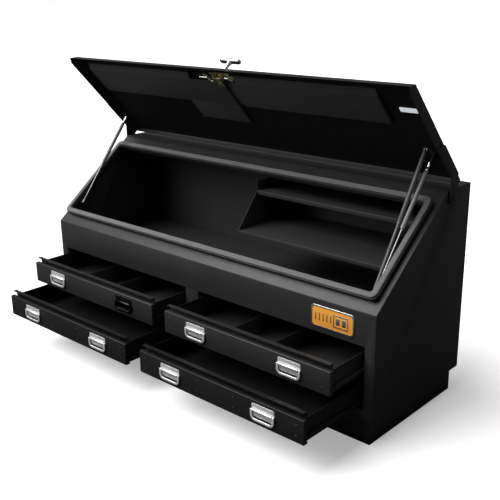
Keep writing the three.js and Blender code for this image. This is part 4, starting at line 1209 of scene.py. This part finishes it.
GENTLE_BEND = math.radians(62)
lock_rod = bent_rod((-0.112, 0.0905, ROD_LEVEL), [
    (0.036, GENTLE_BEND, 0.010), (0.010, -2 * GENTLE_BEND, 0.010), (0.026, GENTLE_BEND, 0.010), (0.0, 0, 0),
], LOCK_ROD_RADIUS)
fit_in_lid(lock_rod, "latch_bent_rod", "lid", BRIGHT_CHROME, "chrome")
bar = bent_rod((-0.036, 0.086, ROD_LEVEL), [(0.070, math.radians(30), 0.03), (0.018, 0, 0)], UPPER_ROD_RADIUS)
fit_in_lid(bar, "latch_upper_rod", "lid", BRIGHT_CHROME, "chrome")

lever = flat_link(((-0.094, 0.079, 0.009), (-0.058, 0.104, 0.008)), 0.0310, 0.0335)
fit_in_lid(lever, "latch_lever", "lid", ZINC, "zinc")
catch = flat_link(((-0.014, 0.080, 0.008), (-0.022, 0.108, 0.0095)), 0.0186, 0.0216)
fit_in_lid(catch, "latch_catch", "lid", ZINC, "zinc")
body_dish = turned([
    (0.0295, 0.012), (0.0300, 0.0142), (0.0315, 0.0158), (0.0335, 0.018), (0.0345, 0.0215),
    (ON_SKIN, 0.0215),
], (0.050, 0.096, 0), SQUARE_TO_LID, 44)
fit_in_lid(body_dish, "latch_lock_body", "lid", ZINC, "zinc")
studs = [
    turned([(0.0240, 0.0030), (0.0246, 0.0046), (0.0300, 0.0050), (ON_SKIN, 0.0050)], (x, y, 0),
           SQUARE_TO_LID, 18)
    for x, y in ((-0.104, 0.078), (-0.034, 0.108), (0.058, 0.074))
]
fit_in_lid(joined(studs), "latch_studs", "lid", BRIGHT_CHROME, "chrome")
print("latch fittings done")

# %% [markdown]
# ## Badge and label
# A badge of orange enamel in a raised silver frame is fixed to the front at the right. A small
# label sits in the upper right corner of the lid's inner face. Both are kept generic: the badge
# carries a row of plain raised bars in place of any lettering, and the label is blank.

# %% Badge and label
BADGE_LOW = (0.614, 0.403)
BADGE_HIGH = (0.800, 0.485)
BADGE_CORNER = 0.015
FRAME_WIDTH = 0.0055
BADGE_FACE = FRONT - 0.0002
MARK_DEPTH = (0.0020, 0.0030)
BAR_COUNT = 5
BAR_STEP = 0.0165
BAR_START = 0.019
BAR_THICK = 0.0040
PANEL = (0.712, 0.775)
PANEL_LINE = 0.0035
LABEL_X = (0.778, 0.846)
LABEL_ALONG = (0.122, 0.146)


def badge_plate(inset, depth_from, depth_to, corner, edge):
    return rounded_plate((BADGE_LOW[0] + inset, BADGE_FACE - depth_to, BADGE_LOW[1] + inset),
                         (BADGE_HIGH[0] - inset, BADGE_FACE - depth_from, BADGE_HIGH[1] - inset),
                         1, corner, edge, 8)


def badge_mark(x0, x1, above, below, corner, segments):
    """A raised mark, so far above the badge's lower edge and so far below its upper edge."""
    return rounded_plate((x0, BADGE_FACE - MARK_DEPTH[1], BADGE_LOW[1] + above),
                         (x1, BADGE_FACE - MARK_DEPTH[0], BADGE_HIGH[1] - below), 1, corner, 0.0002, segments)


well_corner = BADGE_CORNER - FRAME_WIDTH / 2
frame_plate = badge_plate(0, 0, 0.0034, BADGE_CORNER, 0.0011)
cut(frame_plate, badge_plate(FRAME_WIDTH, 0.0018, 0.0060, well_corner, 0.0003))
fit(frame_plate, "badge_frame", "cabinet", BADGE_SILVER, "chrome")
fit(badge_plate(FRAME_WIDTH - 0.0004, 0.0008, 0.0024, well_corner, 0.0003), "badge_enamel", "cabinet",
    BADGE_ORANGE, "drawer_powder_coat")

marks = []
for index in range(BAR_COUNT):
    x0 = BADGE_LOW[0] + BAR_START + index * BAR_STEP
    marks.append(badge_mark(x0, x0 + BAR_THICK, 0.026, 0.026, 0.0008, 2))
panel = badge_mark(*PANEL, 0.016, 0.018, 0.002, 3)
cut(panel, block((PANEL[0] + PANEL_LINE, BADGE_FACE - 0.0040, BADGE_LOW[1] + 0.0205),
                 (PANEL[1] - PANEL_LINE, BADGE_FACE - 0.0010, BADGE_HIGH[1] - 0.0225)))
marks.append(panel)
marks += [badge_mark(x0, x1, 0.027, 0.029, 0.004, 4) for x0, x1 in ((0.723, 0.739), (0.749, 0.765))]
fit(joined(marks), "badge_bars", "cabinet", BADGE_SILVER, "chrome")

label = rounded_plate((LABEL_X[0], skin_front + LABEL_ALONG[0], lid_inner_face - 0.0006),
                      (LABEL_X[1], skin_front + LABEL_ALONG[1], lid_inner_face - 0.0001), 2, 0.004, 0.0001, 4)
fit_in_lid(label, "lid_label", "lid", GLOWING_LABEL, "foam_seal")
print("badge and label done")

# %% [markdown]
# ## Studio
# The floor is plain and pale. A wide, soft light from above and to the left lights the front and
# the slope and leaves the right side in shade, and two softboxes fill in. The floor and the
# surroundings are bright only where the camera sees them, so that they don't wash out the black
# coat.

# %% Floor, surroundings and lights
FLOOR_HALF = 60
FLOOR_SEEN = (0.93, 0.93, 0.93)
FLOOR_BOUNCE = (0.06, 0.06, 0.06)
FLOOR_GLOW = (0.35, 0.35, 0.35)
AMBIENT = 0.09

bpy.ops.object.select_all(action="DESELECT")
bpy.ops.mesh.primitive_plane_add(size=2 * FLOOR_HALF)
floor = bpy.context.object
floor.name = "studio_floor"
paper = Finish("studio_paper", Roughness=0.9, Specular_IOR_Level=0.1)
seen = paper.node("ShaderNodeLightPath", output="Is Camera Ray")
paper.feed("Base Color", paper.mix(seen, FLOOR_BOUNCE, FLOOR_SEEN))
paper.feed("Emission Color", paper.mix(seen, (0, 0, 0), FLOOR_GLOW))
paper.feed("Emission Strength", 1.0)
floor.data.materials.append(paper.material)

world = bpy.data.worlds.new("studio")
bpy.context.scene.world = world
world.use_nodes = True
sky = world.node_tree.nodes["Background"]
ray = world.node_tree.nodes.new("ShaderNodeLightPath")
level_of_light = world.node_tree.nodes.new("ShaderNodeMapRange")
level_of_light.inputs["To Min"].default_value = AMBIENT
level_of_light.inputs["To Max"].default_value = 1.0
world.node_tree.links.new(ray.outputs["Is Camera Ray"], level_of_light.inputs["Value"])
world.node_tree.links.new(level_of_light.outputs["Result"], sky.inputs["Strength"])
sky.inputs["Color"].default_value = (1, 1, 1, 1)

LIGHTS = [
    ("front", (-2.2, -3.4, 2.6), (0, 0, 0.5), (2.6, 2.0), 60),
    ("side", (3.4, -0.6, 2.4), (0.4, 0, 0.5), (1.2, 2.4), 3),
]
SUN_FROM = (-0.38, -0.42, 0.82)
SUN_ANGLE = math.radians(55)
SUN_STRENGTH = 4.2

bpy.ops.object.light_add(type="SUN", location=(-2, -2, 4))
sun = bpy.context.object
sun.name = "sky_light"
sun.data.angle = SUN_ANGLE
sun.data.energy = SUN_STRENGTH
sun.rotation_euler = Vector(SUN_FROM).to_track_quat("Z", "Y").to_euler()

for name, place, aim, size, power in LIGHTS:
    bpy.ops.object.light_add(type="AREA", location=place)
    lamp = bpy.context.object
    lamp.name = name + "_softbox"
    lamp.data.shape = "RECTANGLE"
    lamp.data.size = size[0]
    lamp.data.size_y = size[1]
    lamp.data.energy = power
    direction = Vector(aim) - Vector(place)
    lamp.rotation_euler = direction.to_track_quat("-Z", "Y").to_euler()
bpy.context.scene.view_settings.view_transform = "Standard"
print("lights", [light[0] for light in LIGHTS])
